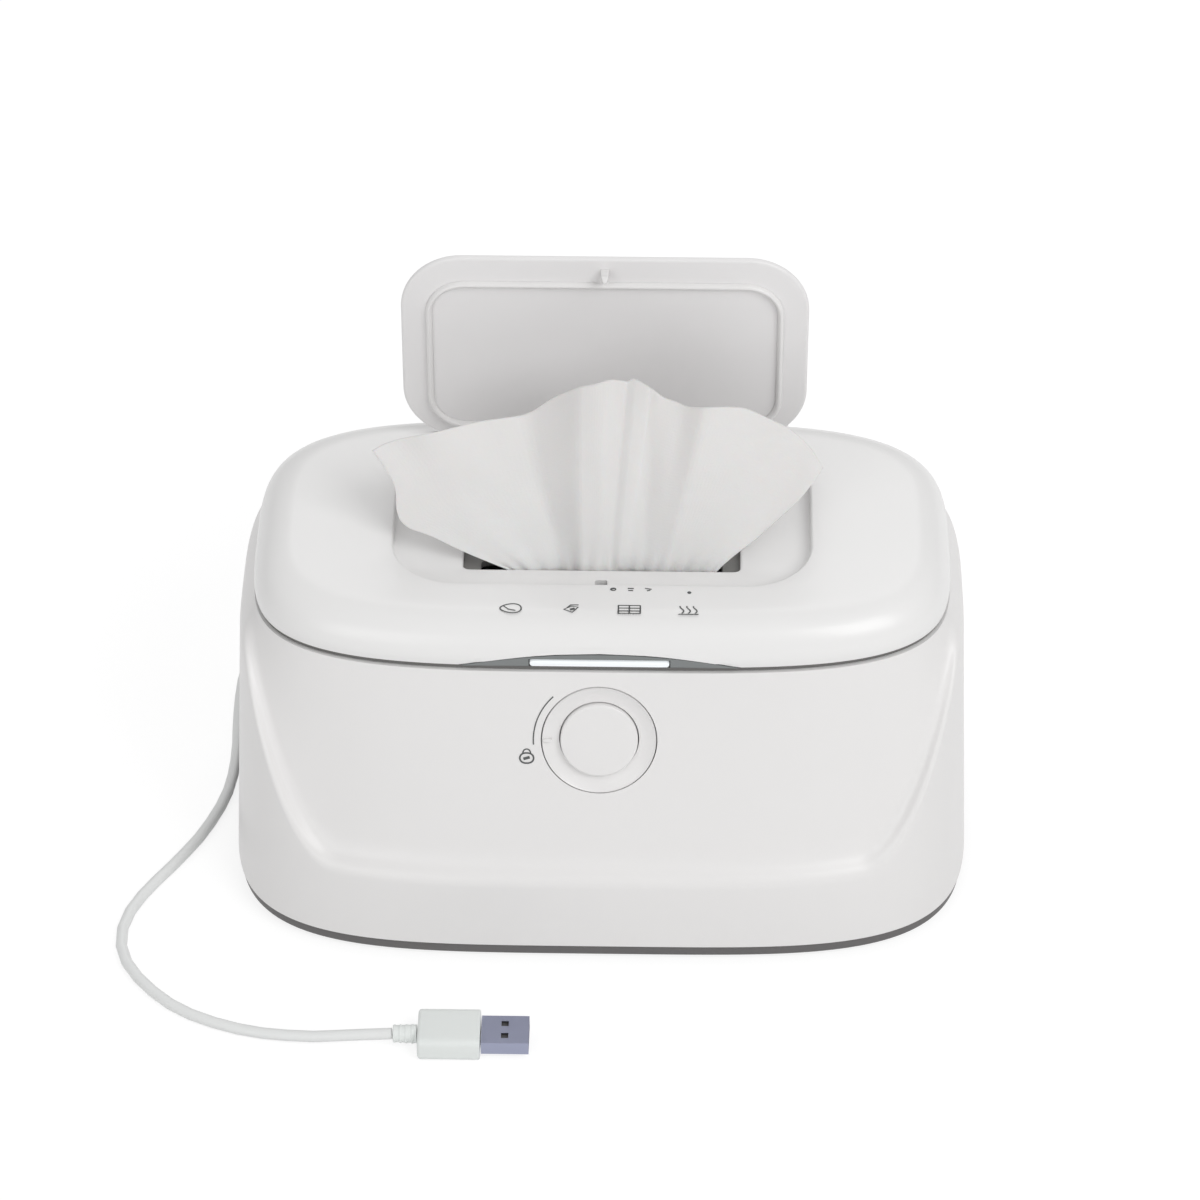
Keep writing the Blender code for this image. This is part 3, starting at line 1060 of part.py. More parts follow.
# The wipe that stands in the slot: gathered at its neck and fanned out above the lid
WIPE_FOOT_Z = STACK_TOP_Z + 3 * AIR
WIPE_NECK_HALF = 29.0 * MM
WIPE_NECK_Z = LIP_Z + LIP_THICK
WIPE_NECK_INSET = 3.1 * MM
WIPE_NECK_Y = SLIT_FRONT_Y + WIPE_NECK_INSET
WIPE_HALF = 68.0 * MM
WIPE_LOW_TOP_Z = 141.0 * MM
WIPE_MIDDLE_TOP_Z = 163.0 * MM
WIPE_THICK = 0.5 * MM
WIPE_PLEAT = 6.5 * MM
WIPE_NECK_PLEAT = 2.2 * MM
WIPE_PLEATS = 4.5
WIPE_LEAN = 14.0 * MM
WIPE_COLUMNS = 36
WIPE_ROWS = 10
WIPE_NECK_SHARE = 0.26
SPREAD_SHARE = 0.25
LIFT_SHARE = 0.25


def wipe_surface(across, up):
    """A point of the wipe: across from -1 to 1, up from 0 at its foot to 1 at its free edge."""
    edge = abs(across) ** 3
    if up < WIPE_NECK_SHARE:
        rise = up / WIPE_NECK_SHARE
        x = across * WIPE_NECK_HALF
        z = WIPE_FOOT_Z + rise * (WIPE_NECK_Z - WIPE_FOOT_Z)
        pleat, back = WIPE_NECK_PLEAT, 0.0
    else:
        free = (up - WIPE_NECK_SHARE) / (1 - WIPE_NECK_SHARE)
        spread = free ** (1 - SPREAD_SHARE * edge)
        lift = free ** (1 + LIFT_SHARE * edge)
        top = WIPE_MIDDLE_TOP_Z + (WIPE_LOW_TOP_Z - WIPE_MIDDLE_TOP_Z) * across * across
        x = across * (WIPE_NECK_HALF + spread * (WIPE_HALF - WIPE_NECK_HALF))
        z = WIPE_NECK_Z + lift * (top - WIPE_NECK_Z)
        pleat = WIPE_NECK_PLEAT + free * (WIPE_PLEAT - WIPE_NECK_PLEAT)
        back = free * WIPE_LEAN
    y = WIPE_NECK_Y + back + pleat * math.sin(across * WIPE_PLEATS * math.pi)
    return x, y, z


def make_wipe():
    """The gathered wipe, an open surface given its thickness by Solidify."""
    mesh = bpy.data.meshes.new("wipe_sheet")
    points = [wipe_surface(2 * i / WIPE_COLUMNS - 1, j / WIPE_ROWS)
              for j in range(WIPE_ROWS + 1) for i in range(WIPE_COLUMNS + 1)]
    wide = WIPE_COLUMNS + 1
    faces = [(j * wide + i, j * wide + i + 1, (j + 1) * wide + i + 1, (j + 1) * wide + i)
             for j in range(WIPE_ROWS) for i in range(WIPE_COLUMNS)]
    mesh.from_pydata(points, [], faces)
    sheet = place("wipe_sheet", mesh, CLOTH)
    thick = sheet.modifiers.new("thickness", "SOLIDIFY")
    thick.thickness = WIPE_THICK
    thick.offset = 0


# Cord: a lead from the gland to a coil behind the housing, the coil, and the run to the plug
TIE_THICK = 0.7 * MM
TIE_WIDTH = 9.0 * MM
COIL_X = -30.0 * MM
BACK_Y = BODY_DEPTH / 2
FRONT_Y = -BODY_DEPTH / 2
SIDE_X = -BODY_WIDTH / 2
COIL_BEHIND = 41.2 * MM
COIL_Y = BACK_Y + COIL_BEHIND
COIL_OUTER = 27.0 * MM
COIL_GAP = 0.6 * MM
COIL_TURNS = 4.5
COIL_POINTS = 24
COIL_PITCH = 2 * CORD_RADIUS + COIL_GAP
COIL_Z = TIE_THICK + AIR + CORD_RADIUS
PLUG_AHEAD = 38.2 * MM
PLUG_Y = FRONT_Y - PLUG_AHEAD
PLUG_Z = 4.0 * MM
SLEEVE_START_X = -61.4 * MM
SLEEVE_LENGTH = 7.2 * MM
SLEEVE_RADIUS = 2.6 * MM
SLEEVE_END_RADIUS = 3.1 * MM
PLUG_LENGTH = 19.0 * MM
PLUG_WIDTH = 16.0 * MM
PLUG_HEIGHT = 8.0 * MM
PLUG_EDGE = 1.5 * MM
SHELL_LENGTH = 14.4 * MM
SHELL_WIDTH = 12.0 * MM
SHELL_HEIGHT = 4.5 * MM
SHELL_WALL = 0.35 * MM
SHELL_HOLE = 2.2 * MM
SHELL_HOLE_X = 6.0 * MM
SHELL_HOLE_Y = 2.6 * MM
SHELL_FLOOR = 1.5 * MM
TONGUE_WIDTH = 10.6 * MM
TONGUE_HEIGHT = 1.8 * MM
TONGUE_SHORT = 1.0 * MM
GROUND = CORD_RADIUS
ROUTE_STEPS = 12
CORD_SPACING = 8.0 * MM

LEAD_ROUTE = [
    (-78.0 * MM, BACK_Y + 24.1 * MM, 14.0 * MM),
    (-78.0 * MM, BACK_Y + 28.7 * MM, 14.0 * MM),
    (-77.8 * MM, BACK_Y + 32.7 * MM, 11.4 * MM),
    (-77.0 * MM, BACK_Y + 39.2 * MM, 7.0 * MM),
    (-75.0 * MM, BACK_Y + 47.2 * MM, 3.2 * MM),
    (-70.0 * MM, BACK_Y + 56.2 * MM, GROUND),
    (-61.0 * MM, BACK_Y + 63.2 * MM, GROUND),
    (-50.0 * MM, BACK_Y + 67.2 * MM, GROUND),
]
RUN_ROUTE = [
    (-50.0 * MM, BACK_Y + 14.4 * MM, 4.6 * MM),
    (-62.0 * MM, BACK_Y + 14.8 * MM, 2.1 * MM),
    (-76.0 * MM, BACK_Y + 16.2 * MM, GROUND),
    (-92.0 * MM, BACK_Y + 15.2 * MM, GROUND),
    (SIDE_X + 9 * MM, BACK_Y + 8.2 * MM, GROUND),
    (SIDE_X, BACK_Y - 4.8 * MM, GROUND),
    (SIDE_X - 4 * MM, BACK_Y - 21.8 * MM, GROUND),
    (SIDE_X - 4.4 * MM, 36.0 * MM, GROUND),
    (SIDE_X - 3.6 * MM, 14.0 * MM, GROUND),
    (SIDE_X - 5.4 * MM, -5.0 * MM, GROUND),
    (SIDE_X - 11.6 * MM, -23.5 * MM, GROUND),
    (SIDE_X - 19.8 * MM, -38.8 * MM, GROUND),
    (SIDE_X - 27.9 * MM, FRONT_Y + 25.3 * MM, GROUND),
    (SIDE_X - 32.6 * MM, FRONT_Y + 11.8 * MM, GROUND),
    (SIDE_X - 31.6 * MM, FRONT_Y - 2.2 * MM, GROUND),
    (SIDE_X - 24 * MM, FRONT_Y - 15.2 * MM, GROUND),
    (SIDE_X - 11 * MM, FRONT_Y - 27.2 * MM, GROUND),
    (SIDE_X + 8 * MM, FRONT_Y - 35.2 * MM, GROUND),
    (-88.0 * MM, FRONT_Y - 38.2 * MM, 2.4 * MM),
    (-74.0 * MM, FRONT_Y - 38.4 * MM, 3.4 * MM),
]


def smooth_route(points, spacing):
    """Points about one spacing apart on a smooth curve through the route's own points."""
    points = [Vector(p) for p in points]
    padded = [2 * points[0] - points[1]] + points + [2 * points[-1] - points[-2]]
    fine = []
    for a, b, c, d in zip(padded, padded[1:], padded[2:], padded[3:]):
        square, cube = 2 * a - 5 * b + 4 * c - d, 3 * b - a - 3 * c + d
        for k in range(ROUTE_STEPS):
            t = k / ROUTE_STEPS
            fine.append(b + t / 2 * ((c - a) + t * (square + t * cube)))
    fine.append(points[-1])
    lengths = np.concatenate([[0], np.cumsum([(q - p).length for p, q in zip(fine, fine[1:])])])
    count = max(2, round(lengths[-1] / spacing))
    wanted = np.linspace(0, lengths[-1], count + 1)
    columns = np.array(fine)
    return [tuple(np.interp(s, lengths, columns[:, k]) for k in range(3)) for s in wanted]


def coil_route():
    """Turns that spiral in, climb a layer where the spiral reverses, and spiral out again."""
    count = round(COIL_TURNS * COIL_POINTS)
    route = []
    for k in range(count + 1):
        turned = k / COIL_POINTS
        from_middle = turned - COIL_TURNS / 2
        radius = COIL_OUTER - COIL_PITCH * (COIL_TURNS / 2 - abs(from_middle))
        climb = min(max(2 * from_middle + 1 / 2, 0), 1)
        climb = climb * climb * (3 - 2 * climb)
        angle = math.pi / 2 - turned * 2 * math.pi
        route.append((COIL_X + radius * math.cos(angle), COIL_Y + radius * math.sin(angle),
                      COIL_Z + COIL_PITCH * climb))
    first, last = route[0], route[-1]
    stub = 2 * CORD_RADIUS
    return [(first[0] - stub, first[1], first[2])] + route + [(last[0] - stub, last[1], last[2])]


def self_gap(route, radius, apart):
    """The least clear distance between stretches of one tube, measured on its points."""
    points = np.array(route)
    far = np.linalg.norm(points[:, None] - points[None], axis=2)
    index = np.arange(len(points))
    far[np.abs(index[:, None] - index[None]) < apart] = np.inf
    return far.min() - 2 * radius


def length_of(route):
    """The length along a list of points."""
    return sum((Vector(b) - Vector(a)).length for a, b in zip(route, route[1:]))


def make_cord():
    """Gland, lead, coil with its tie, run, and the USB plug with its sleeve, shell and tongue."""
    back = BODY_DEPTH / 2
    gland = lathe("strain_relief", [
        (0, back + GLAND_HEAD + GLAND_TAIL), (GLAND_TAIL_RADIUS, back + GLAND_HEAD + GLAND_TAIL),
        (GLAND_RADIUS, back + GLAND_HEAD), (GLAND_HEAD_RADIUS, back + GLAND_HEAD),
        (GLAND_HEAD_RADIUS, back + AIR), (GLAND_RADIUS, back + AIR), (GLAND_RADIUS, back - 2 * WALL),
        (0, back - 2 * WALL)], WHITE, 20)
    gland.matrix_world = (Matrix.Translation((GLAND_X, 0, GLAND_Z)) @ Matrix.Rotation(-math.pi / 2, 4, "X"))
    coil = coil_route()
    lead = smooth_route(LEAD_ROUTE + [(coil[0][0] - AIR, coil[0][1], coil[0][2])], CORD_SPACING)
    run = smooth_route([(coil[-1][0] - AIR, coil[-1][1], coil[-1][2])] + RUN_ROUTE
                       + [(SLEEVE_START_X - AIR, PLUG_Y, PLUG_Z)], CORD_SPACING)
    tube("cord_lead", lead, CORD_RADIUS, CORD)
    tube("cord_coil", coil, CORD_RADIUS, CORD, 1)
    tube("cord_run", run, CORD_RADIUS, CORD)
    tie_side = COIL_X + COIL_OUTER
    inner_low = (tie_side - COIL_TURNS / 2 * COIL_PITCH - CORD_RADIUS - 2 * AIR,
                 COIL_Z - CORD_RADIUS - AIR)
    inner_high = (tie_side + CORD_RADIUS + 2 * AIR, COIL_Z + COIL_PITCH + CORD_RADIUS + AIR)
    inner = rounded_rectangle(inner_low, inner_high, CORD_RADIUS, 3)
    outer = rounded_rectangle((inner_low[0] - TIE_THICK, inner_low[1] - TIE_THICK),
                              (inner_high[0] + TIE_THICK, inner_high[1] + TIE_THICK),
                              CORD_RADIUS + TIE_THICK, 3)
    near, far = COIL_Y - TIE_WIDTH / 2, COIL_Y + TIE_WIDTH / 2
    skin("cord_tie", [[(x, near, z) for x, z in outer], [(x, far, z) for x, z in outer],
                      [(x, far, z) for x, z in inner], [(x, near, z) for x, z in inner]], RUBBER, closed=True)
    print("cord: lead", round(length_of(lead), 4), "coil", round(length_of(coil), 4),
          "run", round(length_of(run), 4), "points", len(lead) + len(run))
    print("coil's least gap to itself", round(self_gap(coil, CORD_RADIUS, COIL_POINTS // 2), 5))


def make_plug():
    """The USB plug at the cord's end: sleeve, moulded grip, metal shell and tongue."""
    start = SLEEVE_START_X + SLEEVE_LENGTH
    rod("plug_sleeve", SLEEVE_RADIUS, (SLEEVE_START_X, PLUG_Y, PLUG_Z), (start, PLUG_Y, PLUG_Z),
        CORD, 16, SLEEVE_END_RADIUS)
    start += AIR
    box("plug_body", (start, PLUG_Y - PLUG_WIDTH / 2, PLUG_Z - PLUG_HEIGHT / 2),
        (start + PLUG_LENGTH, PLUG_Y + PLUG_WIDTH / 2, PLUG_Z + PLUG_HEIGHT / 2), CORD, PLUG_EDGE, 3)
    start += PLUG_LENGTH + AIR
    end = start + SHELL_LENGTH
    wide, high = SHELL_WIDTH / 2, SHELL_HEIGHT / 2
    shell = box("plug_shell", (start, PLUG_Y - wide, PLUG_Z - high),
                (end, PLUG_Y + wide, PLUG_Z + high), STEEL)
    inner_wide, inner_high = wide - SHELL_WALL, high - SHELL_WALL
    cut(shell, box("shell_inside", (start + SHELL_FLOOR, PLUG_Y - inner_wide, PLUG_Z - inner_high),
                   (end + OVERRUN, PLUG_Y + inner_wide, PLUG_Z + inner_high), None))
    near = start + SHELL_HOLE_X
    for side in (-1, 1):
        middle = PLUG_Y + side * SHELL_HOLE_Y
        cut(shell, box(f"shell_hole_{side}", (near, middle - SHELL_HOLE / 2, PLUG_Z),
                       (near + SHELL_HOLE, middle + SHELL_HOLE / 2, PLUG_Z + SHELL_HEIGHT), None))
    floor = PLUG_Z + high - SHELL_WALL - SHELL_HOLE - AIR
    box("plug_tongue", (start + SHELL_FLOOR + AIR, PLUG_Y - TONGUE_WIDTH / 2, floor),
        (end - TONGUE_SHORT, PLUG_Y + TONGUE_WIDTH / 2, floor + TONGUE_HEIGHT), DARK)


make_housing()
make_base()
make_tank()
make_heater()
make_board()
make_stack()
make_button()
make_dial()
make_latch()
make_light()
make_lid_cover()
make_lid_inside()
make_flap()
make_wipe()
make_cord()
make_plug()
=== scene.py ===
# %% [markdown]
# A baby wipe warmer, dressed for its portrait
#
# The CAD model has already settled every size and every moving joint of this warmer. Here it gets
# its looks: smooth moulded skins over the faceted solids, a moist wipe gathered in its slot, a real
# length of USB cord, printed marks, and a finish for each material. We load the imported model as a
# fixed frame first. The dressed model has to stay inside it.

# %% Load the frame
import math

import bpy
import numpy as np
from mathutils import Matrix, Vector


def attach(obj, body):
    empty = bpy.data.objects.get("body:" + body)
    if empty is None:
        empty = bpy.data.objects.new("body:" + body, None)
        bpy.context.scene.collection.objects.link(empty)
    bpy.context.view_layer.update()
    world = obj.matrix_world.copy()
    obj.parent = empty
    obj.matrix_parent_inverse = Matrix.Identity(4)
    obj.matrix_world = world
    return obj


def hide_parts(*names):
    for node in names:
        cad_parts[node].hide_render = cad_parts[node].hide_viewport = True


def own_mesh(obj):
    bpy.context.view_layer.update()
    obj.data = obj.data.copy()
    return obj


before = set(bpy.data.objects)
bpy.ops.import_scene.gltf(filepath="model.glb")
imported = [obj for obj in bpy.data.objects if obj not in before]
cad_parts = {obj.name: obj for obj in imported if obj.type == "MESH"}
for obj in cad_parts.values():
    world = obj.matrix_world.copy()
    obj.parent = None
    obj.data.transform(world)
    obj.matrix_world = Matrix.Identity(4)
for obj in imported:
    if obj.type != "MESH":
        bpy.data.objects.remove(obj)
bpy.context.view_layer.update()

MM = 0.001

# %% [markdown]
# ## The camera
#
# The photograph looks down at the warmer from a little right of its middle. A long lens far away
# keeps the sides nearly parallel, as in a catalogue picture. The camera is turned so that its -Z
# axis points from the eye to the target.

# %% Camera
def put_in_scene(name, data):
    """A new object with this data, linked into the scene."""
    thing = bpy.data.objects.new(name, data)
    bpy.context.scene.collection.objects.link(thing)
    return thing


CAMERA_ELEVATION = math.radians(38.9)
CAMERA_AZIMUTH = math.radians(1.0)
CAMERA_DISTANCE = 1.5682
CAMERA_TARGET = Vector((0, 0, 79.9 * MM))
CAMERA_LENS = 151.28
CAMERA_SENSOR = 36.0
CAMERA_SHIFT = -0.0021

outwards = Vector((math.sin(CAMERA_AZIMUTH) * math.cos(CAMERA_ELEVATION),
                   -math.cos(CAMERA_AZIMUTH) * math.cos(CAMERA_ELEVATION),
                   math.sin(CAMERA_ELEVATION)))
lens = bpy.data.cameras.new("portrait_lens")
lens.lens = CAMERA_LENS
lens.sensor_width = CAMERA_SENSOR
lens.shift_x = CAMERA_SHIFT
camera = put_in_scene("portrait_camera", lens)
camera.location = CAMERA_TARGET + outwards * CAMERA_DISTANCE
camera.rotation_euler = outwards.to_track_quat("Z", "Y").to_euler()
bpy.context.scene.camera = camera
bpy.context.scene.view_settings.view_transform = "Standard"
print("camera stands at", [round(v, 3) for v in camera.location])

# %% [markdown]
# ## Meshes from grids
#
# Nearly every skin here is a grid: rows of points round the warmer, one above the other. A grid
# becomes quads by joining each point with its neighbour in the row and in the next row. A closed
# skin must face outwards, and the sign of its volume tells whether it does.

# %% Grid to mesh
SHARP_ABOVE = 35.0


def signed_volume(points, quads):
    """Sum of the tetrahedra between the origin and each half of each quad."""
    a, b, c, d = (points[quads[:, k]] for k in range(4))
    first = np.einsum("ij,ij->i", a, np.cross(b, c))
    second = np.einsum("ij,ij->i", a, np.cross(c, d))
    return (first + second).sum() / 6


def mesh_of(name, points, faces, crease=SHARP_ABOVE):
    """A smooth-shaded mesh whose edges stay sharp above the crease angle, in degrees."""
    mesh = bpy.data.meshes.new(name)
    mesh.from_pydata([tuple(p) for p in points], [], [list(map(int, face)) for face in faces])
    mesh.update()
    mesh.shade_smooth()
    mesh.set_sharp_from_angle(angle=math.radians(crease))
    return mesh


def piece_of(name, mesh, finish, body, slot_name, *stands_for):
    """An object that rides on a body, has a finish and replaces CAD nodes; its record slot is not used."""
    piece = put_in_scene(name, mesh)
    if finish:
        mesh.materials.clear()
        mesh.materials.append(finish)
    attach(piece, body)
    if stands_for:
        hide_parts(*stands_for)
    return piece


def grid_faces(rows, columns, closed_rows=False):
    """Quads of a grid whose columns close on themselves, and whose rows may."""
    last = rows if closed_rows else rows - 1
    r, c = np.meshgrid(np.arange(last), np.arange(columns), indexing="ij")
    up, right = (r + 1) % rows, (c + 1) % columns
    return np.stack([r * columns + c, r * columns + right, up * columns + right, up * columns + c],
                    axis=-1).reshape(-1, 4)


def loft(name, grid, closed_rows=False):
    """A closed skin from rows of points: capped at both ends, or joined end to end."""
    grid = np.asarray(grid, float)
    rows, columns = grid.shape[:2]
    points = grid.reshape(-1, 3)
    quads = grid_faces(rows, columns, closed_rows)
    inside_out = signed_volume(points, quads) < 0
    faces = [quad[::-1] if inside_out else quad for quad in quads]
    if not closed_rows:
        foot = np.arange(columns)[::-1]
        head = (rows - 1) * columns + np.arange(columns)
        faces += [foot[::-1], head[::-1]] if inside_out else [foot, head]
    mesh = mesh_of(name, points, faces)
    print(f"{name}: {rows} x {columns} points")
    return mesh


def skin(name, grid, finish, body, slot_name, *stands_for, closed_rows=False):
    """A closed skin made into a piece of the same name."""
    return piece_of(name, loft(name, grid, closed_rows), finish, body, slot_name, *stands_for)


# %% [markdown]
# ## Outlines
#
# The warmer's plan is a superellipse, a rectangle with very soft corners. The flap, its recess and
# the slot are rounded rectangles. Both are sampled at the same angles, so that one can run into
# the other, row by row, without a seam.

# %% Outline functions
AROUND = 320
turn = np.arange(AROUND) * 2 * math.pi / AROUND


def superellipse(half_x, half_y, power, centre_y=0.0, angle=turn):
    """x = a sign(cos) |cos|^(2/n), y = c + b sign(sin) |sin|^(2/n)."""
    cosine, sine = np.cos(angle), np.sin(angle)
    x = half_x * np.sign(cosine) * np.abs(cosine) ** (2 / power)
    y = centre_y + half_y * np.sign(sine) * np.abs(sine) ** (2 / power)
    return np.column_stack([x, y])


def rounded_rectangle(half_x, low_y, high_y, radius, angle=turn):
    """Where a ray towards (a cos, b sin) meets the side, the end or the corner arc."""
    half_y, centre_y = (high_y - low_y) / 2, (high_y + low_y) / 2
    ray = np.column_stack([half_x * np.cos(angle), half_y * np.sin(angle)])
    ray /= np.linalg.norm(ray, axis=1)[:, None]
    along = np.maximum(np.abs(ray), 1e-9)
    core = np.array([half_x - radius, half_y - radius])
    to_side, to_end = half_x / along[:, 0], half_y / along[:, 1]
    reach = along @ core
    to_corner = reach + np.sqrt(np.maximum(reach ** 2 - core @ core + radius ** 2, 0))
    on_side = to_side * along[:, 1] <= core[1]
    on_end = to_end * along[:, 0] <= core[0]
    distance = np.where(on_side, to_side, np.where(on_end, to_end, to_corner))
    return ray * distance[:, None] + [0, centre_y]


def level(outline, z):
    """An outline lifted to a height, or to one height a point."""
    return np.column_stack([outline, np.broadcast_to(z, len(outline))])


def arc_steps(count):
    """Angles from 0 to a quarter turn."""
    return np.linspace(0, math.pi / 2, count)


def fillet(radius, count):
    """A quarter round as (inset, rise) pairs: r (1 - sin a) and r (1 - cos a)."""
    return [(radius * (1 - math.sin(a)), radius * (1 - math.cos(a))) for a in arc_steps(count)]


# %% [markdown]
# ## Finishes
#
# A moulded surface is never one flat colour. Each finish mixes two near shades with soft noise,
# and gives the surface a fine bump at the real scale of its texture. Everything reads Object
# coordinates, which are metres here, so the grain has the same size on every piece.

# %% A helper for finishes
def finish_of(name, colour, roughness, metallic=0.0, grain=900.0, depth=0.02, shade=0.96,
              patch=18.0, coat=0.0, sheen=0.0, stretch=(1, 1, 1), emission=0.0):
    """A Principled finish: two shades mixed by a soft noise, and a bump from a fine noise."""
    material = bpy.data.materials.new(name)
    material.use_nodes = True
    nodes, links = material.node_tree.nodes, material.node_tree.links
    shader = nodes["Principled BSDF"]
    shader.inputs["Roughness"].default_value = roughness
    shader.inputs["Metallic"].default_value = metallic
    shader.inputs["Coat Weight"].default_value = coat
    shader.inputs["Coat Roughness"].default_value = 0.12
    shader.inputs["Sheen Weight"].default_value = sheen
    if emission:
        shader.inputs["Emission Color"].default_value = (*colour, 1)
        shader.inputs["Emission Strength"].default_value = emission
    where = nodes.new("ShaderNodeTexCoord")
    scale = nodes.new("ShaderNodeMapping")
    scale.inputs["Scale"].default_value = stretch
    links.new(where.outputs["Object"], scale.inputs["Vector"])
    soft = nodes.new("ShaderNodeTexNoise")
    soft.inputs["Scale"].default_value = patch
    links.new(scale.outputs["Vector"], soft.inputs["Vector"])
    tint = nodes.new("ShaderNodeMix")
    tint.data_type = "RGBA"
    tint.inputs["A"].default_value = (*(c * shade for c in colour), 1)
    tint.inputs["B"].default_value = (*colour, 1)
    links.new(soft.outputs["Fac"], tint.inputs["Factor"])
    links.new(tint.outputs["Result"], shader.inputs["Base Color"])
    fine = nodes.new("ShaderNodeTexNoise")
    fine.inputs["Scale"].default_value = grain
    fine.inputs["Detail"].default_value = 3
    links.new(scale.outputs["Vector"], fine.inputs["Vector"])
    bump = nodes.new("ShaderNodeBump")
    bump.inputs["Strength"].default_value = 1.0
    bump.inputs["Distance"].default_value = depth * MM
    links.new(fine.outputs["Fac"], bump.inputs["Height"])
    links.new(bump.outputs["Normal"], shader.inputs["Normal"])
    return material


WHITE_SHADE = (0.80, 0.79, 0.785)
SATIN = finish_of("satin_white_moulding", WHITE_SHADE, 0.38, grain=1600, depth=0.006, shade=0.985)
LID_SATIN = finish_of("lid_white_moulding", (0.83, 0.825, 0.82), 0.33, grain=1600, depth=0.004,
                      shade=0.985, coat=0.15)
FLAP_SATIN = finish_of("flap_white_moulding", (0.82, 0.81, 0.81), 0.42, grain=1500, depth=0.005)
KNOB_SATIN = finish_of("knob_white_moulding", (0.81, 0.80, 0.795), 0.32, grain=1500, depth=0.003)
DARK = finish_of("dark_grey_moulding", (0.13, 0.125, 0.125), 0.48, grain=1400, depth=0.01, shade=0.9)
SMOKE = finish_of("smoke_grey_window", (0.20, 0.215, 0.215), 0.16, grain=300, depth=0.001,
                  shade=0.8, patch=40, coat=0.4)
TANK_GREY = finish_of("tank_grey_moulding", (0.14, 0.137, 0.132), 0.42, grain=1300, depth=0.008)
SILICONE = finish_of("dark_silicone", (0.20, 0.197, 0.19), 0.62, grain=700, depth=0.015, shade=0.9)
GLOW = finish_of("milky_light_guide", (0.80, 0.83, 0.85), 0.22, grain=200, depth=0.001,
                 shade=0.97, emission=0.25)
CORD_SKIN = finish_of("soft_cord_sheath", (0.80, 0.81, 0.805), 0.45, grain=1100, depth=0.01)
PLUG_SKIN = finish_of("plug_moulding", (0.80, 0.83, 0.815), 0.4, grain=1100, depth=0.006)
PRINT = finish_of("grey_print", (0.10, 0.105, 0.105), 0.55, grain=1500, depth=0.002, shade=0.85)
STEEL = finish_of("plated_steel", (0.55, 0.56, 0.60), 0.28, 1.0, grain=500, depth=0.003,
                  stretch=(1, 8, 8))
PLUG_STEEL = finish_of("plug_shell_steel", (0.36, 0.38, 0.50), 0.30, 1.0, grain=420, depth=0.003,
                       shade=0.9, stretch=(0.3, 4, 4))
ALUMINIUM = finish_of("rolled_aluminium", (0.75, 0.76, 0.78), 0.34, 1.0, grain=600, depth=0.004,
                      stretch=(0.2, 6, 6))
FOAM = finish_of("grey_foam", (0.35, 0.35, 0.36), 0.95, grain=500, depth=0.25, shade=0.8, patch=60)
FILM = finish_of("amber_heater_film", (0.55, 0.24, 0.05), 0.25, grain=250, depth=0.004, shade=0.7,
                 patch=90, coat=0.5)
BOARD = finish_of("green_circuit_board", (0.02, 0.17, 0.08), 0.35, grain=260, depth=0.01,
                  shade=0.55, patch=130, coat=0.3)
print("finishes", len(bpy.data.materials))

# %% [markdown]
# ## The cord
#
# The lead leaves a sleeve low in the back, winds into a coil behind the body for storage, and runs
# along the left side to the plug in front. It is one curve of one real length, so that nothing is
# stretched. The points that lie free are given in millimetres, and smoothed. Where the
# cord lies on the ground its middle is 1.8 mm up, its own radius. The coil is worked out.

# %% The cord's sizes and its two free routes
CORD_RADIUS = 1.8 * MM
GLAND_X, GLAND_Z = -78.0 * MM, 14.0 * MM
GLAND_START_Y, GLAND_END_Y = 101.9 * MM, 106.5 * MM
COIL_X, COIL_Y = -30.0 * MM, 119.0 * MM
COIL_OUTER = 27.0 * MM
COIL_TURNS = 4.5
COIL_POINTS = 24
COIL_PITCH = 4.2 * MM
COIL_Z = 2.8 * MM
PLUG_Y, PLUG_Z = -116.0 * MM, 4.0 * MM
SLEEVE_START_X = -61.4 * MM
SEAT = 0.3 * MM
SPACING = 8.0 * MM

LEAD_ROUTE_MM = [
    (-77.8, 110.5, 11.4), (-77.0, 117.0, 7.0), (-75.0, 125.0, 3.2), (-70.0, 134.0, 1.8),
    (-61.0, 141.0, 1.8), (-50.0, 145.0, 1.8),
]
RUN_ROUTE_MM = [
    (-50.0, 92.2, 4.6), (-62.0, 92.6, 2.1), (-76.0, 94.0, 1.8), (-92.0, 93.0, 1.8),
    (-106.0, 86.0, 1.8), (-115.0, 73.0, 1.8), (-119.0, 56.0, 1.8), (-119.4, 36.0, 1.8),
    (-118.6, 14.0, 1.8), (-120.4, -5.0, 1.8), (-126.6, -23.5, 1.8), (-134.8, -38.8, 1.8),
    (-142.9, -52.5, 1.8), (-147.6, -66.0, 1.8), (-146.6, -80.0, 1.8), (-139.0, -93.0, 1.8),
    (-126.0, -105.0, 1.8), (-107.0, -113.0, 1.8), (-88.0, -116.0, 2.4), (-74.0, -116.2, 3.4),
]


def in_metres(rows):
    """Points given in millimetres, as tuples in metres."""
    return [tuple(v * MM for v in row) for row in rows]


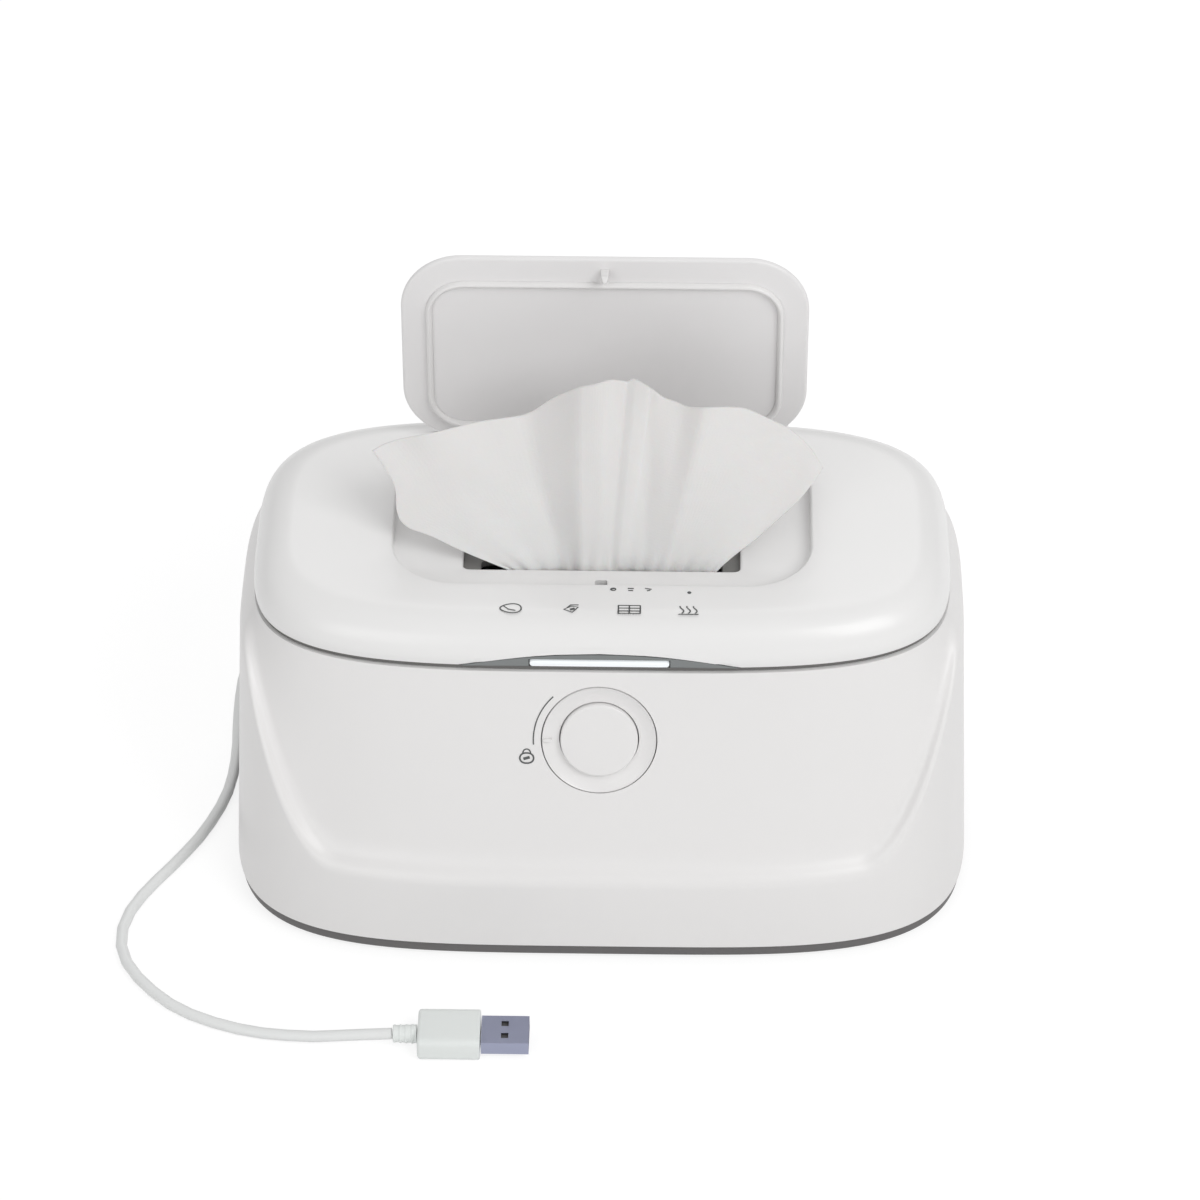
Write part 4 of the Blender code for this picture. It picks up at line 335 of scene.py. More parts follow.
# %% Coil and smoothing
def coil_route():
    """Turns that spiral in, climb a layer where the spiral reverses, and spiral out again."""
    turned = np.arange(round(COIL_TURNS * COIL_POINTS) + 1) / COIL_POINTS
    from_middle = turned - COIL_TURNS / 2
    radius = COIL_OUTER - COIL_PITCH * (COIL_TURNS / 2 - np.abs(from_middle))
    climb = np.clip(2 * from_middle + 1 / 2, 0, 1)
    climb = climb * climb * (3 - 2 * climb)
    angle = math.pi / 2 - turned * 2 * math.pi
    turns = np.column_stack([COIL_X + radius * np.cos(angle), COIL_Y + radius * np.sin(angle),
                             COIL_Z + COIL_PITCH * climb])
    stub = [2 * CORD_RADIUS, 0, 0]
    return np.vstack([turns[0] - stub, turns, turns[-1] - stub])


def smooth_route(points, spacing, fine=12):
    """A Catmull-Rom curve through the points, cut again into steps of about one spacing."""
    p = np.array(points, float)
    p = np.vstack([2 * p[0] - p[1], p, 2 * p[-1] - p[-2]])
    t = (np.arange(fine) / fine)[None, :, None]
    a, b, c, d = p[:-3, None], p[1:-2, None], p[2:-1, None], p[3:, None]
    curve = b + t / 2 * ((c - a) + t * ((2 * a - 5 * b + 4 * c - d) + t * (3 * b - a - 3 * c + d)))
    curve = np.vstack([curve.reshape(-1, 3), p[-2]])
    run = np.concatenate([[0], np.cumsum(np.linalg.norm(np.diff(curve, axis=0), axis=1))])
    wanted = np.linspace(0, run[-1], max(2, round(run[-1] / spacing)) + 1)
    return np.column_stack([np.interp(wanted, run, curve[:, k]) for k in range(3)])


coil = coil_route()
lead = smooth_route([(GLAND_X, GLAND_START_Y, GLAND_Z), (GLAND_X, GLAND_END_Y, GLAND_Z)]
                    + in_metres(LEAD_ROUTE_MM) + [tuple(coil[0] - [SEAT, 0, 0])], SPACING)
run = smooth_route([tuple(coil[-1] - [SEAT, 0, 0])] + in_metres(RUN_ROUTE_MM)
                   + [(SLEEVE_START_X - SEAT, PLUG_Y, PLUG_Z)], SPACING)
route = np.vstack([lead, coil, run])

# %% The cord's curve
line = bpy.data.curves.new("usb_cord", "CURVE")
line.dimensions = "3D"
line.bevel_depth = CORD_RADIUS
line.bevel_resolution = 4
line.use_fill_caps = True
spline = line.splines.new("POLY")
spline.points.add(len(route) - 1)
spline.points.foreach_set("co", np.column_stack([route, np.ones(len(route))]).ravel())
spline.use_smooth = True
line.materials.append(CORD_SKIN)
usb_cord = put_in_scene("usb_cord", line)
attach(usb_cord, "housing")
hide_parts("cord_lead", "cord_coil", "cord_run")

# %% [markdown]
# ## The housing
#
# The white shell has two parts that flow into each other: a skirt that rises at the sides, and a
# front panel that leans back from a ledge. The edge between them falls in a U over the front. Each
# row of the grid is one level of that form, and a quadratic curve rounds both edges of the ledge.

# %% Housing sizes
BODY_WIDTH, BODY_DEPTH, BODY_POWER = 230.0 * MM, 155.6 * MM, 4.1
SHOULDER_WIDTH, SHOULDER_DEPTH, SHOULDER_POWER = 223.0 * MM, 150.0 * MM, 3.3
LID_WIDTH, LID_DEPTH, LID_POWER = 214.0 * MM, 113.0 * MM, 3.8
LID_CENTRE_Y = 3.0 * MM
SHOULDER_Z, SEAM_Z, FOOT_Z = 88.0 * MM, 95.0 * MM, 5.5 * MM
WALL = 2.4 * MM
FRONT_CREASE_Z = 31.0 * MM
CREASE_START, CREASE_END = math.radians(47.5), math.radians(76.0)
LEDGE_DEPTH, LEDGE_RISE = 5.5 * MM, 3.5 * MM
CREASE_ROUND = 3.0 * MM
INNER_CREASE_DROP = 1.2 * MM
EDGE_ROUND = 0.5 * MM


def envelope(height, inset=0.0):
    """The skirt's outline at a height, or at one height a point: it narrows evenly upwards."""
    share = (np.asarray(height) - FOOT_Z) / (SHOULDER_Z - FOOT_Z)
    half_x = (BODY_WIDTH + share * (SHOULDER_WIDTH - BODY_WIDTH)) / 2 - inset
    half_y = (BODY_DEPTH + share * (SHOULDER_DEPTH - BODY_DEPTH)) / 2 - inset
    power = BODY_POWER + share * (SHOULDER_POWER - BODY_POWER)
    return superellipse(half_x, half_y, power)


def lid_outline(inset=0.0):
    """The outline of the lid and of the seam under it."""
    return superellipse(LID_WIDTH / 2 - inset, LID_DEPTH / 2 - inset, LID_POWER, LID_CENTRE_Y)


def bend(first, corner, last, steps):
    """The quadratic curve that rounds a corner: (1-s)^2 A + 2 s (1-s) B + s^2 C."""
    return [(1 - s) ** 2 * first + 2 * s * (1 - s) * corner + s * s * last for s in steps]


def housing_rows(inset, drop, steps):
    """Rows from foot to seam: skirt, rounded crease, ledge, rounded again, leaning panel."""
    rim = envelope(SHOULDER_Z)
    bearing = np.arctan2(np.abs(rim[:, 0]), -rim[:, 1])
    share = np.clip((bearing - CREASE_START) / (CREASE_END - CREASE_START), 0, 1)
    crease_z = FRONT_CREASE_Z + share ** 2 * (3 - 2 * share) * (SHOULDER_Z - FRONT_CREASE_Z) - drop
    crease = level(envelope(crease_z, inset), crease_z)
    seam = level(lid_outline(inset), SEAM_Z)
    inward = (seam - crease)[:, :2]
    reach = np.linalg.norm(inward, axis=1)
    step_in = np.minimum(LEDGE_DEPTH / reach, 1 / 2)[:, None]
    rise = np.minimum(LEDGE_RISE, (SEAM_Z - crease_z) / 2)
    ledge = np.column_stack([crease[:, :2] + inward * step_in, crease_z + rise])
    below = level(envelope(crease_z - CREASE_ROUND, inset), crease_z - CREASE_ROUND)
    middle = (crease + ledge) / 2
    above_share = np.minimum(2 * CREASE_ROUND / (SEAM_Z - ledge[:, 2]), 1 / 2)[:, None]
    above = ledge + (seam - ledge) * above_share
    foot = level(envelope(FOOT_Z, inset), FOOT_Z)
    rows = [foot + (below - foot) * s for s in (0, 1 / 3, 2 / 3)]
    rows += bend(below, crease, middle, steps) + bend(middle, ledge, above, steps[1:])
    rows += [above + (seam - above) * s for s in (1 / 3, 2 / 3, 1)]
    return rows


# %% Panel frame and housing shell
BUTTON_Z = 73.6 * MM
SEAM_FRONT_Y = LID_CENTRE_Y - LID_DEPTH / 2
CREASE_SHARE = (FRONT_CREASE_Z - FOOT_Z) / (SHOULDER_Z - FOOT_Z)
PANEL_FOOT_Y = -(BODY_DEPTH + CREASE_SHARE * (SHOULDER_DEPTH - BODY_DEPTH)) / 2 + LEDGE_DEPTH
PANEL_FOOT_Z = FRONT_CREASE_Z + LEDGE_RISE
LEAN = math.atan2(SEAM_FRONT_Y - PANEL_FOOT_Y, SEAM_Z - PANEL_FOOT_Z)
BUTTON_Y = SEAM_FRONT_Y - (SEAM_Z - BUTTON_Z) * math.tan(LEAN)
PANEL = Matrix.Translation((0, BUTTON_Y, BUTTON_Z)) @ Matrix.Rotation(math.pi / 2 - LEAN, 4, "X")
DIAL_RADIUS, DIAL_GAP = 17.3 * MM, 0.35 * MM

outer = housing_rows(0.0, 0.0, list(np.linspace(0, 1, 9)))
seam_row = level(lid_outline(EDGE_ROUND), SEAM_Z)
inner = housing_rows(WALL, INNER_CREASE_DROP, list(np.linspace(0, 1, 4)))
housing_shell = skin("housing_shell", outer + [seam_row] + inner[::-1], SATIN, "housing", "white_plastic",
                     "outer_housing", closed_rows=True)


def turned(profile, count=96):
    """A profile of (radius, height) pairs turned about Z, one row a pair."""
    angle = np.arange(count) * 2 * math.pi / count
    profile = np.array(profile, float)
    return np.stack([profile[:, :1] * np.cos(angle), profile[:, :1] * np.sin(angle),
                     np.repeat(profile[:, 1:], count, axis=1)], axis=-1)


def placed(grid, matrix):
    """A grid moved by a matrix."""
    grid = np.asarray(grid, float)
    m = np.array(matrix)
    return grid @ m[:3, :3].T + m[:3, 3]


def carve(piece, cutter_mesh):
    """Cut a closed mesh out of a piece for good, and keep the piece's sharp edges."""
    cutter = put_in_scene("cutter", cutter_mesh)
    step = piece.modifiers.new("carve", "BOOLEAN")
    step.solver = "EXACT"
    step.object = cutter
    bpy.context.view_layer.update()
    evaluated = piece.evaluated_get(bpy.context.evaluated_depsgraph_get())
    mesh = bpy.data.meshes.new_from_object(evaluated)
    piece.modifiers.remove(step)
    piece.data = mesh
    mesh.shade_smooth()
    mesh.set_sharp_from_angle(angle=math.radians(SHARP_ABOVE))
    bpy.data.objects.remove(cutter, do_unlink=True)
    print(f"{piece.name} carved: {len(mesh.polygons)} faces")


hole = turned([(DIAL_RADIUS + DIAL_GAP, -3 * WALL), (DIAL_RADIUS + DIAL_GAP, 3 * WALL)], 128)
carve(housing_shell, loft("panel_hole", placed(hole, PANEL)))

# %% [markdown]
# ## The base
#
# A dark cover closes the bottom and shows as a thin grey ring, drawn in a little under the skirt.
# Its profile is a list of (inset, height) pairs carried round the envelope's foot.

# %% Base cover
BASE_FLOOR_Z = 1.0 * MM
BASE_HEIGHT, BASE_PLATE, RIM_RISE = 4.2 * MM, 2.0 * MM, 3.8 * MM
BASE_TOP_Z = BASE_FLOOR_Z + BASE_HEIGHT
BASE_INSET, BASE_FILLET = 0.6 * MM, 1.4 * MM
RIM_INSET = WALL + SEAT + BASE_INSET
RIM_WALL, RIM_TOP_Z = 1.8 * MM, FOOT_Z + RIM_RISE

base_profile = [(BASE_INSET + inset, BASE_FLOOR_Z + rise) for inset, rise in fillet(BASE_FILLET, 6)]
base_profile += [(BASE_INSET, BASE_TOP_Z), (RIM_INSET, BASE_TOP_Z), (RIM_INSET, RIM_TOP_Z),
                 (RIM_INSET + RIM_WALL, RIM_TOP_Z), (RIM_INSET + RIM_WALL, BASE_FLOOR_Z + BASE_PLATE)]
skin("base_shell", [level(envelope(FOOT_Z, inset), z) for inset, z in base_profile], DARK, "housing",
     "dark_plastic", "base_cover")

# %% [markdown]
# ## The tank
#
# The dark tank hangs from a flange, and the edge of that flange is the dark line under the lid.
# The walls taper, and a fillet leads into the floor.

# %% Tank
TANK_FRONT_Y, TANK_BACK_Y, TANK_WIDTH = -40.0 * MM, 50.0 * MM, 192.0 * MM
TANK_FLOOR_Z, TANK_TAPER, TANK_WALL = 24.0 * MM, 5.0 * MM, 1.8 * MM
TANK_FILLET, TANK_POWER = 6.0 * MM, 4.0
FLANGE_Z = SEAM_Z + SEAT
FLANGE_TOP_Z = FLANGE_Z + 1.4 * MM
FLANGE_INSET = 0.8 * MM
LID_FOOT_Z = FLANGE_TOP_Z + SEAT


def tank_outline(z, outset=0.0):
    """The tank's inner outline, which tapers evenly from its mouth to its floor."""
    share = (FLANGE_TOP_Z - z) / (FLANGE_TOP_Z - TANK_FLOOR_Z)
    half_y, centre_y = (TANK_BACK_Y - TANK_FRONT_Y) / 2, (TANK_BACK_Y + TANK_FRONT_Y) / 2
    return superellipse(TANK_WIDTH / 2 - share * TANK_TAPER + outset,
                        half_y - share * TANK_TAPER + outset, TANK_POWER, centre_y)


tank_rows = [level(tank_outline(TANK_FLOOR_Z, -inset), TANK_FLOOR_Z + rise)
             for inset, rise in fillet(TANK_FILLET, 6)]
tank_rows.append(level(tank_outline(FLANGE_TOP_Z), FLANGE_TOP_Z))
flange_edge = [(EDGE_ROUND, FLANGE_TOP_Z), (0, FLANGE_TOP_Z - EDGE_ROUND / 2),
               (0, FLANGE_Z + EDGE_ROUND / 2), (EDGE_ROUND, FLANGE_Z)]
tank_rows += [level(lid_outline(FLANGE_INSET + inset), z) for inset, z in flange_edge]
tank_rows.append(level(tank_outline(FLANGE_Z, TANK_WALL), FLANGE_Z))
tank_rows += [level(tank_outline(TANK_FLOOR_Z, TANK_WALL - inset), TANK_FLOOR_Z - TANK_WALL + rise)
              for inset, rise in fillet(TANK_FILLET, 6)[::-1]]
tank_liner = skin("tank_liner", tank_rows, TANK_GREY, "housing", "dark_plastic", "tank")

LEG_HALF, LEG_FRONT_Y, LEG_BACK_Y = 18.0 * MM, -50.6 * MM, -49.3 * MM
CATCH_HALF, CATCH_FRONT_Y, CATCH_BACK_Y = 4.5 * MM, -45.6 * MM, -42.0 * MM


def block(low, high, bevel=0.0):
    """A box between two corners as a grid, its plan corners rounded where bevel is given."""
    half_x = (high[0] - low[0]) / 2
    plan = rounded_rectangle(half_x, low[1], high[1], max(bevel, 0.01 * MM), turn[::5])
    plan = plan + [(low[0] + high[0]) / 2, 0]
    return [level(plan, low[2]), level(plan, high[2])]


carve(tank_liner, loft("leg_way", block((-LEG_HALF - SEAT, LEG_FRONT_Y - SEAT, FLANGE_Z - WALL),
                                        (LEG_HALF + SEAT, LEG_BACK_Y + SEAT, FLANGE_TOP_Z + WALL))))
carve(tank_liner, loft("catch_way", block((-CATCH_HALF, CATCH_FRONT_Y, FLANGE_Z - WALL),
                                          (CATCH_HALF, CATCH_BACK_Y, FLANGE_TOP_Z + WALL))))

# %% [markdown]
# ## The lid
#
# The lid is a thin shell with a generous rounded edge, an arched gap over the light bar, a shallow
# recess for the flap and a slot in the recess. All of it is one grid: the rows start at the
# foot, climb the edge, cross the top, drop into the recess and the slot, and come back underneath.

# %% Lid sizes
LID_TOP_Z, LID_EDGE_ROUND, LID_WALL = 110.6 * MM, 12.0 * MM, 2.2 * MM
ARCH_HALF, ARCH_HEIGHT = 42.0 * MM, 5.0 * MM
FLAP_WIDTH, FLAP_FRONT_Y, FLAP_CORNER = 125.6 * MM, -29.0 * MM, 19.0 * MM
FLAP_HINGE_Y, FLAP_AXIS_Z = 42.0 * MM, 108.7 * MM
FLAP_GAP, RECESS_BACK = 1.2 * MM, 3.8 * MM
RECESS_FLOOR_Z = LID_TOP_Z - 4.5 * MM
SLOT_HALF, SLOT_FRONT_Y, SLOT_BACK_Y, SLOT_CORNER = 42.3 * MM, -17.8 * MM, 9.2 * MM, 2.0 * MM
SOFT_EDGE = 0.8 * MM


def arch_height(x):
    """Height of the arched gap over the lid's foot: a circular arc, and zero beside it."""
    radius = (ARCH_HALF ** 2 + ARCH_HEIGHT ** 2) / (2 * ARCH_HEIGHT)
    inside = np.clip(radius ** 2 - x ** 2, 0, None)
    return np.clip(np.sqrt(inside) - (radius - ARCH_HEIGHT), 0, None)


def lid_wall_rows(inset, round_radius, top, count):
    """Rows up the lid's edge: at height z the round insets it by r - sqrt(r^2 - (z - z0)^2)."""
    rows = []
    start = top - round_radius
    for angle in arc_steps(count):
        upright = lid_outline(inset + round_radius * (1 - math.cos(angle)))
        z = start + round_radius * math.sin(angle)
        front = (upright[:, 1] < 0) * arch_height(upright[:, 0])
        fade = max(0.0, 1 - (z - LID_FOOT_Z) / (2 * ARCH_HEIGHT))
        lifted = np.where(z < LID_FOOT_Z + front, LID_FOOT_Z + front + (z - start) * fade, z)
        rise = np.clip((lifted - start) / round_radius, 0, 1)
        extra = round_radius * (1 - np.sqrt(1 - rise ** 2))
        rows.append(np.vstack([lid_outline_at(inset + extra), lifted]).T)
    return rows


def lid_outline_at(insets):
    """The lid's outline with its own inset at each point, as separate x and y arrays."""
    cosine, sine = np.cos(turn), np.sin(turn)
    x = (LID_WIDTH / 2 - insets) * np.sign(cosine) * np.abs(cosine) ** (2 / LID_POWER)
    y = LID_CENTRE_Y + (LID_DEPTH / 2 - insets) * np.sign(sine) * np.abs(sine) ** (2 / LID_POWER)
    return np.vstack([x, y])


def recess_outline(outset):
    """The flap's recess, grown by an outset."""
    return rounded_rectangle(FLAP_WIDTH / 2 + FLAP_GAP + outset, FLAP_FRONT_Y - FLAP_GAP - outset,
                             FLAP_HINGE_Y + RECESS_BACK + outset, FLAP_CORNER + FLAP_GAP + outset)


def slot_outline(outset):
    """The wipe slot, grown by an outset."""
    return rounded_rectangle(SLOT_HALF + outset, SLOT_FRONT_Y - outset, SLOT_BACK_Y + outset,
                             SLOT_CORNER + outset)


# %% Lid shell
def lid_foot_row(inset):
    """The lid's lowest row, lifted over the light bar by the arch."""
    upright = lid_outline(inset)
    front = (upright[:, 1] < 0) * arch_height(upright[:, 0])
    return level(upright, LID_FOOT_Z + front)


def between(first, last, shares):
    """Rows that lie between two rows."""
    return [first + (last - first) * s for s in shares]


lid_rows = [lid_foot_row(EDGE_ROUND / 2)]
lid_rows += lid_wall_rows(0.0, LID_EDGE_ROUND, LID_TOP_Z, 15)
brim = level(recess_outline(SOFT_EDGE), LID_TOP_Z)
lid_rows += between(lid_rows[-1], brim, (1 / 4, 1 / 2, 3 / 4))
lid_rows += [level(recess_outline(inset), LID_TOP_Z - rise) for inset, rise in fillet(SOFT_EDGE, 5)]
lid_rows += [level(recess_outline(-rise), RECESS_FLOOR_Z + inset) for inset, rise in fillet(SOFT_EDGE, 5)]
lid_rows += between(lid_rows[-1], level(slot_outline(SOFT_EDGE), RECESS_FLOOR_Z), (1 / 3, 2 / 3))
lid_rows += [level(slot_outline(inset), RECESS_FLOOR_Z - rise) for inset, rise in fillet(SOFT_EDGE, 4)]
lid_rows += [level(slot_outline(0), RECESS_FLOOR_Z - LID_WALL),
             level(recess_outline(LID_WALL), RECESS_FLOOR_Z - LID_WALL),
             level(recess_outline(LID_WALL), LID_TOP_Z - LID_WALL)]
lid_rows += lid_wall_rows(LID_WALL, LID_EDGE_ROUND - LID_WALL, LID_TOP_Z - LID_WALL, 8)[::-1]
lid_rows.append(lid_foot_row(LID_WALL))
lid_shell = skin("lid_shell", lid_rows, LID_SATIN, "lid", "white_plastic", "lid_cover", closed_rows=True)

HOOK_HOLE_HALF, HOOK_HOLE_FRONT_Y, HOOK_HOLE_BACK_Y = 1.9 * MM, -26.0 * MM, -22.9 * MM
HOOK_HOLE_CORNER = 0.6 * MM
carve(lid_shell, loft("hook_hole", block((-HOOK_HOLE_HALF, HOOK_HOLE_FRONT_Y, RECESS_FLOOR_Z - 2 * LID_WALL),
                                         (HOOK_HOLE_HALF, HOOK_HOLE_BACK_Y, LID_TOP_Z), HOOK_HOLE_CORNER)))

# %% [markdown]
# ## Hinge eyes
#
# Two pairs of ears at the back of the housing hold the lid's knuckles, and two small ears in the
# recess hold the flap. Each is the same form: an upright web that ends in a round eye.

# %% Ears and knuckles
HINGE_Y, HINGE_Z, HINGE_EYE = 64.0 * MM, 97.6 * MM, 3.2 * MM
HINGE_INNER_X, HINGE_EAR, HINGE_KNUCKLE = 34.0 * MM, 6.0 * MM, 12.0 * MM
FLAP_EAR_X, FLAP_EAR_THICK, FLAP_EYE = 30.3 * MM, 3.7 * MM, 2.2 * MM


def across_x(outline, x, y, z):
    """An outline of (across, up) pairs stood in the YZ plane, about a point."""
    return np.column_stack([np.full(len(outline), x), y + outline[:, 0], z + outline[:, 1]])


def eye_outline(radius, foot, count=40):
    """A web with a half-round head as (across, up) pairs about the hinge axis."""
    head = np.linspace(0, math.pi, count)
    return np.vstack([np.column_stack([radius * np.cos(head), radius * np.sin(head)]),
                      [[-radius, -foot], [radius, -foot]]])


def eye_rows(low_x, high_x, y, z, radius, foot, edge=0.3 * MM):
    """The outline carried along X, drawn in at both ends for a soft edge."""
    outline = eye_outline(radius, foot)
    return [across_x(outline * (1 - shrink / radius), x, y, z)
            for x, shrink in ((low_x, edge), (low_x + edge, 0), (high_x - edge, 0), (high_x, edge))]


EAR_FOOT, FLAP_EAR_FOOT = 6.1 * MM, 3.7 * MM
for side, label in ((-1, "left"), (1, "right")):
    for k, start in enumerate((HINGE_INNER_X, HINGE_INNER_X + HINGE_EAR + HINGE_KNUCKLE)):
        low_x, high_x = sorted((side * start, side * (start + HINGE_EAR)))
        skin(f"hinge_ear_{label}_{k}", eye_rows(low_x, high_x, HINGE_Y, HINGE_Z, HINGE_EYE, EAR_FOOT),
             SATIN, "housing", "white_plastic")
    low_x, high_x = sorted((side * FLAP_EAR_X, side * (FLAP_EAR_X + FLAP_EAR_THICK)))
    skin(f"flap_ear_{label}", eye_rows(low_x, high_x, FLAP_HINGE_Y, FLAP_AXIS_Z, FLAP_EYE, FLAP_EAR_FOOT),
         LID_SATIN, "lid", "white_plastic")

ARM_LOW = 0.3 * MM
KNUCKLE_ARC_START = -math.pi * 0.7
KNUCKLE_HEEL = 0.98
for side, label in ((-1, "left"), (1, "right")):
    near = side * (HINGE_INNER_X + HINGE_EAR + SEAT)
    far = near + side * (HINGE_KNUCKLE - 2 * SEAT)
    low_x, high_x = sorted((near, far))
    arc = np.linspace(KNUCKLE_ARC_START, math.pi / 2, 40)
    start_y = LID_CENTRE_Y + LID_DEPTH / 2 - LID_WALL - HINGE_Y
    profile = np.vstack([[[start_y, HINGE_EYE], [start_y, -ARM_LOW], [-HINGE_EYE * KNUCKLE_HEEL, -ARM_LOW]],
                         np.column_stack([HINGE_EYE * np.cos(arc), HINGE_EYE * np.sin(arc)])])
    rows = [across_x(profile, x, HINGE_Y, HINGE_Z) for x in (low_x, high_x)]
    skin(f"lid_knuckle_{label}", rows, LID_SATIN, "lid", "white_plastic")

# %% [markdown]
# ## The flap
#
# The flap is drawn closed, about its own hinge line, and then swung open by its 90 degrees. The
# panel is a soft-edged slab. The rim on its inner face is a rounded ridge carried round a smaller
# outline, and the hook is a small tapered tongue at the free edge.

# %% Flap panel, rim and hook
FLAP_OPEN = math.radians(90.0)
FLAP_WALL, FLAP_REAR_GAP = 2.2 * MM, 2.6 * MM
FLAP = Matrix.Translation((0, FLAP_HINGE_Y, FLAP_AXIS_Z)) @ Matrix.Rotation(-FLAP_OPEN, 4, "X")
FLAP_TIP_Y = FLAP_FRONT_Y - FLAP_HINGE_Y
FLAP_OUTER_Z = LID_TOP_Z - FLAP_AXIS_Z
FLAP_INNER_Z = FLAP_OUTER_Z - FLAP_WALL
FLAP_EDGE = 0.9 * MM


def flap_outline(inset):
    """The flap's outline, drawn in by an inset."""
    return rounded_rectangle(FLAP_WIDTH / 2 - inset, FLAP_TIP_Y + inset, -FLAP_REAR_GAP - inset,
                             FLAP_CORNER - inset)


flap_rows = [level(flap_outline(inset), FLAP_INNER_Z + rise) for inset, rise in fillet(FLAP_EDGE, 6)]
flap_rows += [level(flap_outline(rise), FLAP_OUTER_Z - inset) for inset, rise in fillet(FLAP_EDGE, 6)]
flap_skin = skin("flap_skin", placed(flap_rows, FLAP), FLAP_SATIN, "flap", "white_plastic", "flap_panel")
NOTCH_INNER_X, NOTCH_OUTER_X = 30.0 * MM, 35.2 * MM
NOTCH_FRONT_Y, NOTCH_BACK_Y, NOTCH_REACH = -4.6 * MM, 2.0 * MM, 4.0 * MM
for side in (-1, 1):
    low_x, high_x = sorted((side * NOTCH_INNER_X, side * NOTCH_OUTER_X))
    notch = block((low_x, NOTCH_FRONT_Y, -NOTCH_REACH), (high_x, NOTCH_BACK_Y, NOTCH_REACH))
    carve(flap_skin, loft("ear_notch", placed(notch, FLAP)))

BARREL_HALF, BARREL_RADIUS = 30.0 * MM, 2.0 * MM
WEB_LENGTH, WEB_SHY = 5.0 * MM, 0.05 * MM
barrel = placed(turned([(BARREL_RADIUS, -BARREL_HALF), (BARREL_RADIUS, BARREL_HALF)], 48),
                FLAP @ Matrix.Rotation(math.pi / 2, 4, "Y"))
skin("flap_barrel", barrel, FLAP_SATIN, "flap", "white_plastic")
web = block((-BARREL_HALF, -WEB_LENGTH, FLAP_INNER_Z + WEB_SHY), (BARREL_HALF, 0, FLAP_OUTER_Z - WEB_SHY))
skin("flap_web", placed(web, FLAP), FLAP_SATIN, "flap", "white_plastic")

RIM_SIDE, RIM_FRONT, RIM_REAR = 7.6 * MM, 8.5 * MM, 7.0 * MM
RIM_WIDTH, RIM_HEIGHT, RIM_CORNER = 2.0 * MM, 1.6 * MM, 12.0 * MM
RIDGE_START = 0.25


def rim_outline(inset):
    """The raised rim's outline, drawn in by an inset."""
    return rounded_rectangle(FLAP_WIDTH / 2 - RIM_SIDE - inset, FLAP_TIP_Y + RIM_FRONT + inset,
                             -RIM_REAR - inset, RIM_CORNER - inset)


ridge = [(0, 0)] + [(RIM_WIDTH / 2 * (1 - math.cos(a)), RIM_HEIGHT * math.sin(a))
                    for a in np.linspace(RIDGE_START, math.pi - RIDGE_START, 10)] + [(RIM_WIDTH, 0)]
ridge_foot = FLAP_INNER_Z - SEAT / 4
rim_rows = [level(rim_outline(inset), ridge_foot - height) for inset, height in ridge]
skin("flap_rim", placed(rim_rows, FLAP), KNOB_SATIN, "flap", "white_plastic", "flap_seal",
     closed_rows=True)

HOOK_MIDDLE_Y = FLAP_TIP_Y + 4.7 * MM
HOOK_CORNER = 0.35 * MM
# Half width, half thickness and reach of the hook's sections, in millimetres
HOOK_PROFILE = [(1.3, 1.1, 0.0), (1.25, 1.1, 2.2), (1.1, 0.9, 3.0), (1.2, 1.2, 3.8), (1.0, 1.1, 4.6),
                (0.5, 0.4, 6.0)]
hook_rows = [level(rounded_rectangle(wide * MM, HOOK_MIDDLE_Y - deep * MM, HOOK_MIDDLE_Y + deep * MM,
                                     HOOK_CORNER, turn[::8]), ridge_foot - reach * MM)
             for wide, deep, reach in HOOK_PROFILE]
skin("flap_tongue", placed(hook_rows, FLAP), KNOB_SATIN, "flap", "white_plastic", "flap_hook")

# %% [markdown]
# ## Button and lock ring
#
# Both are turned shapes set in the leaning panel. The button's face is flat with a soft edge, and
# the ring round it is dished like a shallow saucer, with a raised tick at its left.

# %% Button and dial
BUTTON_RADIUS = 11.75 * MM
BUTTON_PROUD, BUTTON_EDGE = 0.5 * MM, 0.6 * MM
BUTTON_SKIRT_Z, BUTTON_CEILING_Z = -4.6 * MM, -1.1 * MM
BUTTON_BORE, STEM_RADIUS, STEM_END_Z = 10.25 * MM, 3.0 * MM, -10.2 * MM
POLE_RADIUS = 0.2 * MM
DIAL_PROUD, DIAL_DISH, DIAL_DEPTH = 0.3 * MM, 1.7 * MM, 4.2 * MM
DIAL_FLANGE, DIAL_FLANGE_Z, DISH_START = 18.7 * MM, -2.6 * MM, 0.06
LIP_LOW, LIP_IN, LIP_DROP = 0.25 * MM, 0.12 * MM, 0.02 * MM

button = [(POLE_RADIUS, BUTTON_PROUD), (BUTTON_RADIUS / 2, BUTTON_PROUD)]
button += [(BUTTON_RADIUS - inset, BUTTON_PROUD - drop) for inset, drop in fillet(BUTTON_EDGE, 6)]
button += [(BUTTON_RADIUS, BUTTON_SKIRT_Z), (BUTTON_BORE, BUTTON_SKIRT_Z), (BUTTON_BORE, BUTTON_CEILING_Z),
           (STEM_RADIUS, BUTTON_CEILING_Z), (STEM_RADIUS, STEM_END_Z), (POLE_RADIUS, STEM_END_Z)]
skin("button_cap", placed(turned(button, 128), PANEL), KNOB_SATIN, "button", "white_plastic",
     "push_button")

